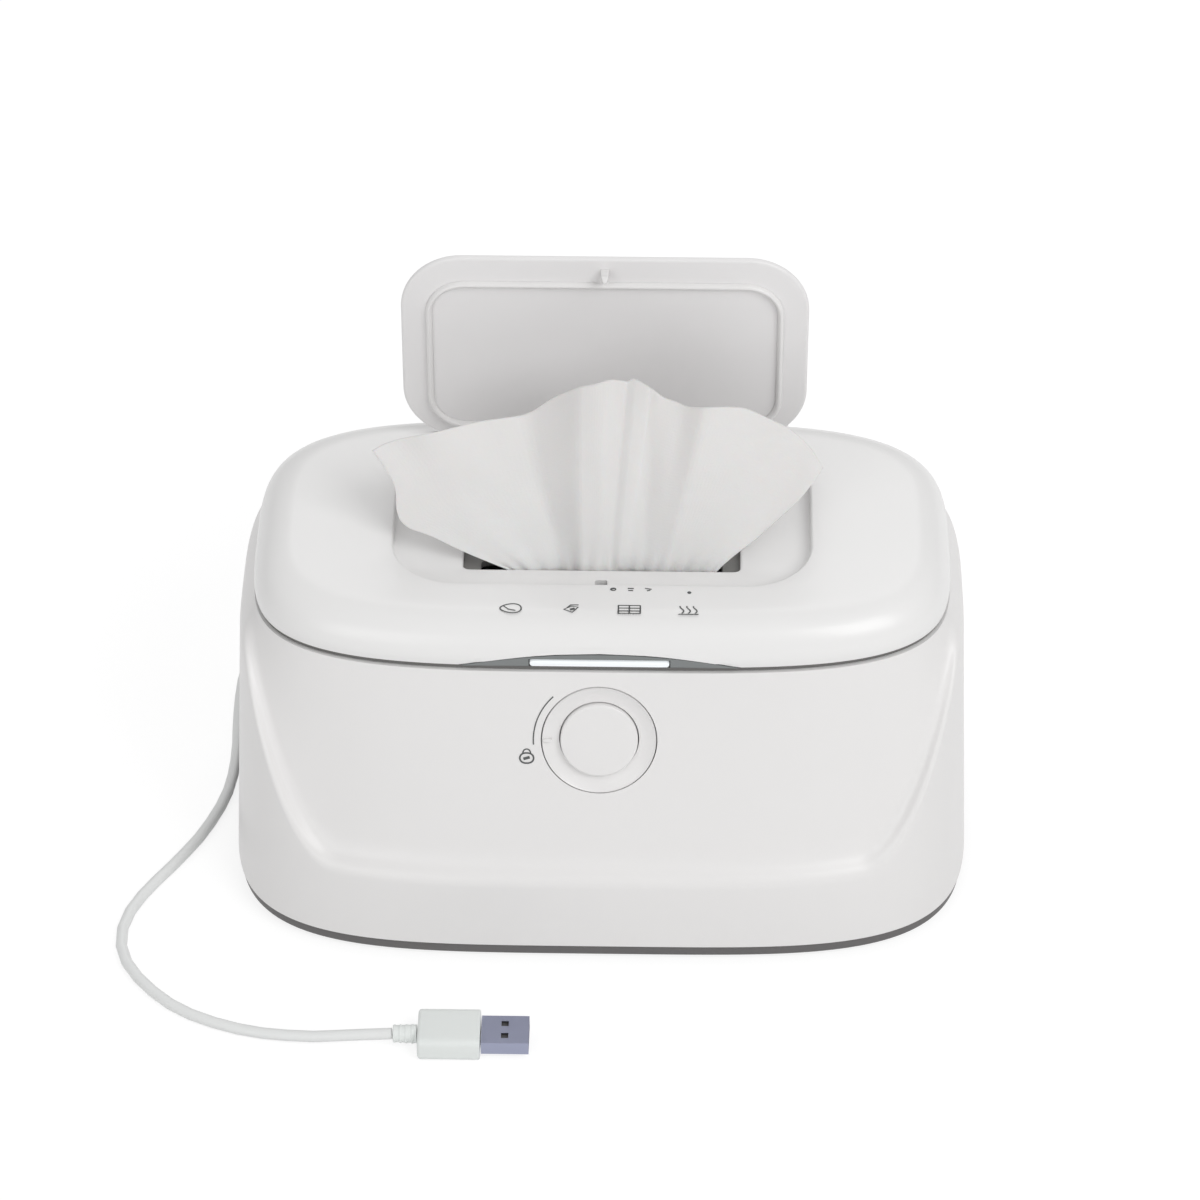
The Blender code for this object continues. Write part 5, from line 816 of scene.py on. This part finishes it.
inner_radius = BUTTON_RADIUS + DIAL_GAP
reach = DIAL_RADIUS - inner_radius
dish = [(DIAL_RADIUS - reach * s, DIAL_PROUD - DIAL_DISH * math.sin(s * math.pi / 2))
        for s in np.linspace(DISH_START, 1, 12)]
lip = [(DIAL_RADIUS, DIAL_PROUD - LIP_LOW), (DIAL_RADIUS - LIP_IN, DIAL_PROUD - LIP_DROP)]
behind = [(inner_radius, -DIAL_DEPTH), (DIAL_FLANGE, -DIAL_DEPTH), (DIAL_FLANGE, DIAL_FLANGE_Z),
          (DIAL_RADIUS, DIAL_FLANGE_Z)]
ring = placed(turned(lip + dish + behind, 128), PANEL)
skin("lock_ring", ring, KNOB_SATIN, "dial", "white_plastic", "lock_dial", closed_rows=True)

TICK_OUTER_X, TICK_INNER_X, TICK_HALF = -16.95 * MM, -14.35 * MM, 0.45 * MM
TICK_LOW_Z, TICK_TOP_Z, TICK_CORNER = -1.0 * MM, 0.65 * MM, 0.4 * MM
tick = block((TICK_OUTER_X, -TICK_HALF, TICK_LOW_Z), (TICK_INNER_X, TICK_HALF, TICK_TOP_Z), TICK_CORNER)
skin("ring_tick", placed(tick, PANEL), KNOB_SATIN, "dial", "white_plastic")

# %% [markdown]
# ## The wipe
#
# One moist wipe stands in the slot. It is gathered at the lips, where many small folds lie close,
# and fans out above the lid into two broad wings with a few soft folds between them. The surface
# is a function of two numbers: across, from -1 to 1, and up, from the stack to the free edge. The
# free edge and both side edges follow tables of points.

# %% Wipe surface
WIPE_FOOT_Z, WIPE_NECK_Z, WIPE_NECK_Y = 73.2 * MM, 103.8 * MM, -15.2 * MM
WIPE_NECK_MIDDLE, WIPE_NECK_HALF = 3.6 * MM, 30.6 * MM
NECK_SHARE, NECK_FOLD_SHARE = 0.26, 0.26
WIPE_COLUMNS, WIPE_ROWS = 340, 110
EDGE_SOFTNESS, SIDE_SOFTNESS, SIDE_POWER = 0.025, 0.05, 4
BROAD_FOLD, NARROW_FOLD, GATHER_FOLD = 1.3 * MM, 0.35 * MM, 0.3 * MM
BROAD_WAVES, NARROW_WAVES, GATHER_WAVES = 8, 27, 15 * math.pi

# The free edge is (across, x, y, z) and the side edges are (x, y, z), with places in millimetres
FREE_EDGE = np.array([
    (-1.00, -70.1, -4.0, 141.3), (-0.90, -62.8, -2.0, 144.5), (-0.76, -49.0, -3.0, 148.4),
    (-0.60, -34.1, 1.5, 148.6), (-0.47, -20.5, 4.0, 149.6), (-0.40, -14.0, 1.0, 157.6),
    (-0.32, -6.6, -5.0, 166.0), (-0.15, 2.0, -6.5, 169.5), (-0.03, 8.0, -5.5, 168.5),
    (0.02, 9.1, 1.5, 165.0), (0.12, 14.3, 5.0, 158.3), (0.25, 18.5, 3.5, 156.1),
    (0.38, 24.6, 0.0, 155.4), (0.47, 30.0, -3.5, 159.0), (0.60, 40.2, -1.0, 158.5),
    (0.75, 51.2, 2.0, 153.2), (0.88, 59.8, 1.0, 147.2), (1.00, 67.3, -3.0, 135.5)])
LEFT_EDGE = np.array([
    (-27.0, -16.2, 103.8), (-34.7, -15.5, 107.4), (-42.6, -14.0, 110.6), (-52.8, -11.5, 114.9),
    (-60.1, -10.0, 116.2), (-62.8, -9.0, 120.4), (-62.6, -7.0, 129.2), (-65.9, -5.5, 134.9),
    (-70.1, -4.0, 141.3)])
RIGHT_EDGE = np.array([
    (34.2, -16.0, 103.8), (41.0, -14.5, 109.8), (46.7, -12.5, 113.4), (55.4, -9.5, 121.6),
    (61.6, -7.0, 127.8), (65.8, -4.5, 133.6), (67.3, -3.0, 135.5)])


def eased(x, xs, ys, soft):
    """Smooth interpolation: a moving average, soft wide, over the straight one."""
    offsets = np.linspace(-soft, soft, 9)
    return np.mean([np.interp(np.clip(x + o, xs[0], xs[-1]), xs, ys) for o in offsets], axis=0)


def along_edge(path, share):
    """Points of a side edge at shares of its length."""
    steps = np.linalg.norm(np.diff(path, axis=0), axis=1)
    lengths = np.concatenate([[0], np.cumsum(steps)]) / steps.sum()
    return np.stack([eased(share, lengths, path[:, k], SIDE_SOFTNESS) for k in range(3)], axis=-1) * MM


def wipe_points():
    """Each column is a straight line from neck to free edge, mixed near a side with that side's path."""
    across, up = np.meshgrid(np.linspace(-1, 1, WIPE_COLUMNS + 1), np.linspace(0, 1, WIPE_ROWS + 1))
    free = np.clip((up - NECK_SHARE) / (1 - NECK_SHARE), 0, 1)
    below = np.clip(up / NECK_SHARE, 0, 1)
    top = np.stack([eased(across, FREE_EDGE[:, 0], FREE_EDGE[:, k], EDGE_SOFTNESS) for k in (1, 2, 3)],
                   axis=-1) * MM
    neck = np.stack([WIPE_NECK_MIDDLE + across * WIPE_NECK_HALF, WIPE_NECK_Y + NECK_FOLD_SHARE * top[..., 1],
                     np.full_like(across, WIPE_NECK_Z)], axis=-1)
    points = neck + (top - neck) * free[..., None]
    edge = np.where((across < 0)[..., None], along_edge(LEFT_EDGE, free), along_edge(RIGHT_EDGE, free))
    weight = (np.abs(across) ** SIDE_POWER)[..., None]
    points = points * (1 - weight) + edge * weight
    soft_fold = BROAD_FOLD * np.sin(across * BROAD_WAVES + 1.5 * free) * np.sin(math.pi * free)
    points[..., 1] += soft_fold + NARROW_FOLD * free * np.sin(across * NARROW_WAVES + 5 * free)
    points[..., 1] += GATHER_FOLD * (1 - free) ** 8 * np.sin(across * GATHER_WAVES + 2 * across ** 2)
    points[..., 2] = np.where(free > 0, points[..., 2], WIPE_FOOT_Z + below * (WIPE_NECK_Z - WIPE_FOOT_Z))
    return points


wipe_grid = wipe_points()
rows, columns = wipe_grid.shape[:2]
corner = (np.arange(rows - 1)[:, None] * columns + np.arange(columns - 1)[None]).ravel()
wipe_faces = np.stack([corner, corner + 1, corner + 1 + columns, corner + columns], axis=-1)
wipe_mesh = mesh_of("standing_wipe", wipe_grid.reshape(-1, 3), wipe_faces, 80)
uv = wipe_mesh.uv_layers.new(name="weave")
loops = np.empty(len(wipe_mesh.loops), int)
wipe_mesh.loops.foreach_get("vertex_index", loops)
sheet_u, sheet_v = (loops % columns) / (columns - 1), (loops // columns) / (rows - 1)
uv.data.foreach_set("uv", np.column_stack([sheet_u, sheet_v]).astype(np.float32).ravel())
cross_a = np.linalg.norm(np.cross(wipe_grid[1:, :-1] - wipe_grid[:-1, :-1],
                                  wipe_grid[:-1, 1:] - wipe_grid[:-1, :-1]), axis=-1)
print("wipe area m2", round(float(cross_a.sum()), 5))

# %% [markdown]
# ## Wipe cloth
#
# A wet wipe is spunlace: short fibres pressed together, with a fine pattern of embossed dots.
# The dots read the sheet's own UV map, so that they follow every fold. The flat size WIPE_FLAT
# is that of the drawn part alone, fitted to the surface above: the rest of the wipe is
# taken to lie in the stack.

# %% Wipe cloth finish
def cloth_of(name, colour, across, along):
    """Nonwoven cloth: Voronoi dots in UV space for the embossing, and a fine fibre noise."""
    material = finish_of(name, colour, 0.75, grain=1800, depth=0.05, shade=0.95, patch=60, sheen=0.15)
    nodes, links = material.node_tree.nodes, material.node_tree.links
    shader = nodes["Principled BSDF"]
    shader.inputs["Subsurface Weight"].default_value = 0.08
    shader.inputs["Subsurface Scale"].default_value = 0.004
    where = nodes.new("ShaderNodeUVMap")
    where.uv_map = "weave"
    size = nodes.new("ShaderNodeMapping")
    size.inputs["Scale"].default_value = (across, along, 1)
    dots = nodes.new("ShaderNodeTexVoronoi")
    dots.inputs["Randomness"].default_value = 0.15
    links.new(where.outputs["UV"], size.inputs["Vector"])
    links.new(size.outputs["Vector"], dots.inputs["Vector"])
    dots.inputs["Scale"].default_value = 1.0
    fine = next(n for n in nodes if n.type == "BUMP")
    emboss = nodes.new("ShaderNodeBump")
    emboss.inputs["Distance"].default_value = 0.06 * MM
    emboss.inputs["Strength"].default_value = 0.6
    links.new(dots.outputs["Distance"], emboss.inputs["Height"])
    links.new(fine.outputs["Normal"], emboss.inputs["Normal"])
    links.new(emboss.outputs["Normal"], shader.inputs["Normal"])
    return material


WIPE_CLOTH = cloth_of("spunlace_wipe", (0.77, 0.755, 0.75), 130, 75)
WIPE_FLAT, WIPE_THICK, PRESSED_Z = (0.145, 0.08), 0.4 * MM, 103.4 * MM
standing_wipe = piece_of("standing_wipe", wipe_mesh, WIPE_CLOTH, "lid", "wipe_cloth", "wipe_sheet")
thick = standing_wipe.modifiers.new("thickness", "SOLIDIFY")
thick.thickness = WIPE_THICK
thick.offset = 0
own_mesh(standing_wipe)

# %% [markdown]
# ## The folded stack
#
# Under the lid lie the rest of the wipes. Their folded edges show as soft layers on the side of
# the block, so the side rows swell and pinch once for each fold.

# %% Wipe stack
STACK_LOW_Z, STACK_HIGH_Z = 24.3 * MM, 72.3 * MM
STACK_LAYERS = 13
STACK_INSET, STACK_PINCH = 2.5 * MM, 0.9 * MM
STACK_FOOT_ROUND, STACK_TOP_ROUND = 6.0 * MM, 14.0 * MM
FOOT_SHARE, TOP_SHARE = 0.1, 0.14
stack_rows = []
for share in np.linspace(0, 1, STACK_LAYERS * 6 + 1):
    fold = abs(math.sin(share * STACK_LAYERS * math.pi))
    corner_in = STACK_FOOT_ROUND * max(0.0, 1 - share / FOOT_SHARE) ** 2
    corner_in += STACK_TOP_ROUND * max(0.0, (share - 1 + TOP_SHARE) / TOP_SHARE) ** 2
    outline = tank_outline(TANK_FLOOR_Z, -STACK_INSET - corner_in - STACK_PINCH * (1 - fold))
    stack_rows.append(level(outline, STACK_LOW_Z + share * (STACK_HIGH_Z - STACK_LOW_Z)))
STACK_CLOTH = finish_of("stacked_wipes", (0.80, 0.79, 0.785), 0.8, grain=900, depth=0.15, shade=0.93,
                        patch=90, sheen=0.15)
skin("folded_wipes", stack_rows, STACK_CLOTH, "housing", "wipe_cloth", "wipe_stack")

# %% [markdown]
# ## Light bar and its window
#
# The arched gap in the lid's edge shows a smoke-grey window with a milky bar in it. The bar has
# round ends. It glows only very faintly, because in daylight the lamp is hardly seen.

# %% Light bar
BAR_HALF, BAR_LOW_Z, BAR_HEIGHT = 21.0 * MM, LID_FOOT_Z + SEAT, 2.1 * MM
BAR_FRONT_Y = -53.7 * MM
BAR_EDGE, BAR_MID_EDGE, TINY = 0.3 * MM, 0.08 * MM, 0.01 * MM
bar_rows = []
for y, inset in ((LEG_BACK_Y, 0), (BAR_FRONT_Y + BAR_EDGE, 0), (BAR_FRONT_Y + BAR_MID_EDGE, BAR_MID_EDGE),
                 (BAR_FRONT_Y, BAR_EDGE)):
    outline = rounded_rectangle(BAR_HALF - inset, BAR_LOW_Z + inset, BAR_LOW_Z + BAR_HEIGHT - inset,
                                BAR_HEIGHT / 2 - inset - TINY, turn[::4])
    bar_rows.append(np.column_stack([outline[:, 0], np.full(len(outline), y), outline[:, 1]]))
skin("glow_bar", bar_rows, GLOW, "housing", "light_bar", "light_bar")

# %% [markdown]
# ## The plug
#
# The cord ends in a moulded grip with a short ribbed sleeve, and a folded steel shell with two
# square holes. Grip and sleeve are outlines carried along X. The shell keeps its CAD shape.

# %% Sleeve and grip
SLEEVE_LENGTH, GRIP_LENGTH = 7.2 * MM, 19.0 * MM
SLEEVE_RADIUS, SLEEVE_FLARE, RIB_HEIGHT, RIBS = 2.55 * MM, 0.3 * MM, 0.22 * MM, 4
GRIP_HALF_WIDTH, GRIP_HALF_HEIGHT = 8.0 * MM, 4.0 * MM


def along_x(sections, outline_of):
    """Outlines in the YZ plane about the plug's middle line, one for each (x, size) section."""
    return [across_x(outline_of(size), x, PLUG_Y, PLUG_Z) for x, size in sections]


def circle(radius, count=48):
    """A round section."""
    angle = np.arange(count) * 2 * math.pi / count
    return np.column_stack([radius * np.cos(angle), radius * np.sin(angle)])


ribs = []
for share in np.linspace(0, 1, 41):
    rib = RIB_HEIGHT * max(0.0, math.sin(share * RIBS * 2 * math.pi)) ** 0.5
    ribs.append((SLEEVE_START_X + share * SLEEVE_LENGTH, SLEEVE_RADIUS + share * SLEEVE_FLARE + rib))
skin("ribbed_sleeve", along_x(ribs, circle), PLUG_SKIN, "housing", "cord", "plug_sleeve")

grip_start = SLEEVE_START_X + SLEEVE_LENGTH + SEAT
GRIP_EDGE, GRIP_CORNER = 1.1 * MM, 2.0 * MM


def grip_outline(inset):
    """The grip's section, drawn in by an inset."""
    return rounded_rectangle(GRIP_HALF_WIDTH - inset, -GRIP_HALF_HEIGHT + inset, GRIP_HALF_HEIGHT - inset,
                             GRIP_CORNER - inset / 2, turn[::4])


grip = [(grip_start + along, inset) for inset, along in fillet(GRIP_EDGE, 6)]
grip += [(grip_start + GRIP_LENGTH - along / 2, inset / 2) for inset, along in fillet(GRIP_EDGE, 6)[::-1]]
skin("plug_grip", along_x(grip, grip_outline), PLUG_SKIN, "housing", "cord", "plug_body")

# %% [markdown]
# ## Printed marks
#
# The marks on the lid and beside the ring are thin prints. Each is a flat ribbon that follows a
# line, lifted a twentieth of a millimetre off the plastic. A ribbon's two edges are the line's
# points moved half a width to either side.

# %% Ribbons
PRINT_LIFT = 0.05 * MM
PRINT_THICK = 0.04 * MM


def ribbon(points, width, closed=False):
    """Points and quads of a thin raised strip along a line of (x, y) pairs in millimetres."""
    p = np.array(points, float) * MM
    ahead = np.roll(p, -1, axis=0) if closed else np.vstack([p[1:], p[-1]])
    behind_point = np.roll(p, 1, axis=0) if closed else np.vstack([p[0], p[:-1]])
    along = ahead - behind_point
    along /= np.maximum(np.linalg.norm(along, axis=1), 1e-9)[:, None]
    beside = np.column_stack([-along[:, 1], along[:, 0]]) * width * MM / 2
    low, high = PRINT_LIFT, PRINT_LIFT + PRINT_THICK
    grid = np.stack([level(p + beside, low), level(p + beside, high),
                     level(p - beside, high), level(p - beside, low)], axis=1)
    n = len(p)
    quads = grid_faces(n, 4, closed)
    faces = [list(q) for q in quads]
    if not closed:
        faces += [[3, 2, 1, 0], [4 * n - 4, 4 * n - 3, 4 * n - 2, 4 * n - 1]]
    return grid.reshape(-1, 3), faces


def printed(name, strokes, matrix, body, finish):
    """Several ribbons joined into one print and put on its surface."""
    points, faces = [], []
    for line_points, width, closed in strokes:
        more, more_faces = ribbon(line_points, width, closed)
        start = sum(len(p) for p in points)
        points.append(more)
        faces += [[start + k for k in face] for face in more_faces]
    mesh = bpy.data.meshes.new(name)
    mesh.from_pydata([tuple(p) for p in placed(np.vstack(points), matrix)], [], faces)
    mesh.update()
    piece_of(name, mesh, finish, body, "dark_plastic")
    print(name, len(faces), "faces")


def loop(cx, cy, rx, ry, count=28, start=0.0, end=2 * math.pi, power=1.0):
    """Points of an oval, or part of one."""
    a = np.linspace(start, end, count, endpoint=abs(end - start) < 2 * math.pi - 1e-6)
    return [(cx + rx * np.sign(np.cos(t)) * abs(np.cos(t)) ** power, cy + ry * math.sin(t)) for t in a]


# %% Marks on the lid
LID_PRINT = Matrix.Translation((0, 0, LID_TOP_Z))
ICON_Y = -42.5


def at(y, places, width, closed=False):
    """A stroke whose (x, y) places are given about a line at y."""
    return [(x, y + dy) for x, dy in places], width, closed


leaf_turn = np.linspace(0, 2 * math.pi, 30, endpoint=False)
leaf = [(-26.9 + 3.2 * math.cos(t), 2.1 * math.sin(t) * (1 + 0.25 * math.cos(t))) for t in leaf_turn]
printed("icon_oval", [at(ICON_Y, leaf, 0.42, True),
                      at(ICON_Y, [(-29.2, 1.2), (-27.6, -0.4), (-25.4, -1.0)], 0.35)],
        LID_PRINT, "lid", PRINT)
printed("icon_wedge", [at(ICON_Y, [(-10.9, -0.2), (-8.3, -1.6), (-6.6, 0.9), (-8.6, 1.3)], 0.42, True),
                       at(ICON_Y, [(-9.9, 0.5), (-8.9, 1.9), (-6.5, 1.9)], 0.4),
                       at(ICON_Y, [(-9.0, -0.3), (-7.6, 0.2)], 0.9)], LID_PRINT, "lid", PRINT)
bars = [at(ICON_Y, [(5.4, dy), (12.2, dy)], 0.36) for dy in (-1.9, -0.65, 0.65, 1.9)]
bars += [at(ICON_Y, [(x, -1.9), (x, 1.9)], 0.42) for x in (5.5, 8.8, 12.1)]
printed("icon_bars", bars, LID_PRINT, "lid", PRINT)
waves = [at(ICON_Y, [(x + 0.55 * math.sin(s * 5.2), 3.4 * s - 1.5) for s in np.linspace(0, 1, 14)], 0.4)
         for x in (24.6, 26.6, 28.6)]
waves.append(at(ICON_Y, [(23.6, -2.0), (29.6, -2.0)], 0.4))
printed("icon_warmth", waves, LID_PRINT, "lid", PRINT)
DOT_Y = -32.9
small = [(loop(3.8, DOT_Y, 0.75, 0.6, 12), 0.4, True), at(DOT_Y, [(3.0, -0.2), (4.6, 0.5)], 0.3),
         at(DOT_Y, [(8.2, 0.5), (10.0, 0.5)], 0.45), at(DOT_Y, [(8.4, -0.5), (9.8, -0.5)], 0.45),
         at(DOT_Y, [(13.4, 0.6), (15.4, 0.2)], 0.4), at(DOT_Y, [(14.0, -0.6), (15.0, -0.2)], 0.45),
         (loop(26.8, DOT_Y - 1.2, 0.35, 0.35, 10), 0.55, True)]
printed("status_marks", small, LID_PRINT, "lid", PRINT)

# %% Marks beside the ring
ARC_MARK_RADIUS = 19.9
arc_marks = [([(-ARC_MARK_RADIUS * math.cos(t), ARC_MARK_RADIUS * math.sin(t))
               for t in np.linspace(-0.08, 0.80, 26)], 0.38, False)]
printed("lock_arc", arc_marks, PANEL, "housing", PRINT)
padlock = [(loop(-21.9, -6.1, 2.1, 1.7, 22, power=0.8), 0.5, True),
           (loop(-21.9, -4.6, 1.2, 1.5, 12, 0.1, math.pi - 0.1), 0.4, False),
           ([(-22.9, -6.4), (-21.0, -5.8)], 0.9, False)]
printed("lock_mark", padlock, PANEL, "housing", PRINT)

# %% [markdown]
# ## Finishes for the rest
#
# The pieces whose CAD shape is already right keep it and only get a better finish. Most of them
# are inside, and show when the lid is up or when someone takes the warmer apart.

# %% Finishes on CAD nodes
REST = {
    SATIN: ["latch_bracket", "lid_catch", "lid_liner", "strain_relief"],
    SMOKE: ["light_bezel"],
    DARK: ["latch_lever", "plug_tongue"],
    SILICONE: ["foot_1", "foot_2", "foot_3", "foot_4", "lid_gasket", "slot_lips", "cord_tie"],
    STEEL: [f"{kind}_screw_{k}" for kind in ("base", "board", "liner") for k in (1, 2, 3, 4)]
           + ["latch_pin", "lid_hinge_pin_left", "lid_hinge_pin_right", "flap_hinge_pin",
              "button_spring", "thermal_cutout"],
    PLUG_STEEL: ["plug_shell"],
    ALUMINIUM: ["heater_plate"],
    FILM: ["heater_film"],
    FOAM: ["insulation_pad"],
    BOARD: ["main_board", "led_board", "touch_board"],
}
for finish, names in REST.items():
    for name in names:
        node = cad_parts[name]
        if not node.data.materials:
            node.data.materials.append(finish)
        for place in node.material_slots:
            place.material = finish
print("refinished", sum(len(names) for names in REST.values()), "CAD nodes")

# %% [markdown]
# ## Floor, backdrop and light
#
# The photograph is a cut-out on pure white with hardly any shadow. To camera, glossy and
# transmission rays the floor is mostly glow, and a thin diffuse share takes the object's shadow.
# Three large soft lamps light the object: the main one is up on the right.

# %% Stage
def stage_finish(name, shadow_share):
    """White where it is seen, straight or in a reflection, and plain pale diffuse to other rays."""
    material = bpy.data.materials.new(name)
    material.use_nodes = True
    nodes, links = material.node_tree.nodes, material.node_tree.links
    nodes.clear()
    out = nodes.new("ShaderNodeOutputMaterial")
    seen = nodes.new("ShaderNodeMixShader")
    path = nodes.new("ShaderNodeLightPath")
    either = nodes.new("ShaderNodeMath")
    either.operation = "MAXIMUM"
    any_ray = nodes.new("ShaderNodeMath")
    any_ray.operation = "MAXIMUM"
    links.new(path.outputs["Is Camera Ray"], either.inputs[0])
    links.new(path.outputs["Is Glossy Ray"], either.inputs[1])
    links.new(either.outputs[0], any_ray.inputs[0])
    links.new(path.outputs["Is Transmission Ray"], any_ray.inputs[1])
    pale = nodes.new("ShaderNodeBsdfDiffuse")
    pale.inputs["Color"].default_value = (0.8, 0.8, 0.8, 1)
    glow = nodes.new("ShaderNodeEmission")
    glow.inputs["Color"].default_value = (1, 1, 1, 1)
    glow.inputs["Strength"].default_value = 1 - shadow_share
    shadow = nodes.new("ShaderNodeBsdfDiffuse")
    shadow.inputs["Color"].default_value = (*[shadow_share * 1.35] * 3, 1)
    white = nodes.new("ShaderNodeAddShader")
    links.new(glow.outputs[0], white.inputs[0])
    links.new(shadow.outputs[0], white.inputs[1])
    links.new(any_ray.outputs[0], seen.inputs["Fac"])
    links.new(pale.outputs[0], seen.inputs[1])
    links.new(white.outputs[0], seen.inputs[2])
    links.new(seen.outputs[0], out.inputs["Surface"])
    return material


FLOOR_HALF = 3.0
floor_mesh = bpy.data.meshes.new("floor")
floor_mesh.from_pydata([(-FLOOR_HALF, -FLOOR_HALF, 0), (FLOOR_HALF, -FLOOR_HALF, 0),
                        (FLOOR_HALF, FLOOR_HALF, 0), (-FLOOR_HALF, FLOOR_HALF, 0)], [], [(0, 1, 2, 3)])
floor_mesh.materials.append(stage_finish("pale_floor", 0.2))
floor = put_in_scene("floor", floor_mesh)
floor.location.z = -0.05 * MM

world = bpy.data.worlds.new("studio")
world.use_nodes = True
bpy.context.scene.world = world
sky = world.node_tree.nodes["Background"]
rays = world.node_tree.nodes.new("ShaderNodeLightPath")
amount = world.node_tree.nodes.new("ShaderNodeMix")
AMBIENT = 0.55
amount.inputs["A"].default_value = AMBIENT
amount.inputs["B"].default_value = 1.0
world.node_tree.links.new(rays.outputs["Is Camera Ray"], amount.inputs["Factor"])
world.node_tree.links.new(amount.outputs["Result"], sky.inputs["Strength"])
sky.inputs["Color"].default_value = (1, 1, 1, 1)


def soft_lamp(name, where, target, size, power):
    """A square area lamp aimed at a point."""
    light = bpy.data.lights.new(name, "AREA")
    light.size = size
    light.energy = power
    lamp = put_in_scene(name, light)
    lamp.location = where
    lamp.rotation_euler = (Vector(where) - Vector(target)).to_track_quat("Z", "Y").to_euler()


AIM = (0, 0, 0.07)
soft_lamp("main_lamp", (0.9, -0.9, 1.3), AIM, 0.9, 11.0)
soft_lamp("fill_lamp", (-0.8, -1.5, 0.8), AIM, 1.0, 5.5)
soft_lamp("back_lamp", (0.1, 1.2, 1.3), AIM, 1.0, 4.0)
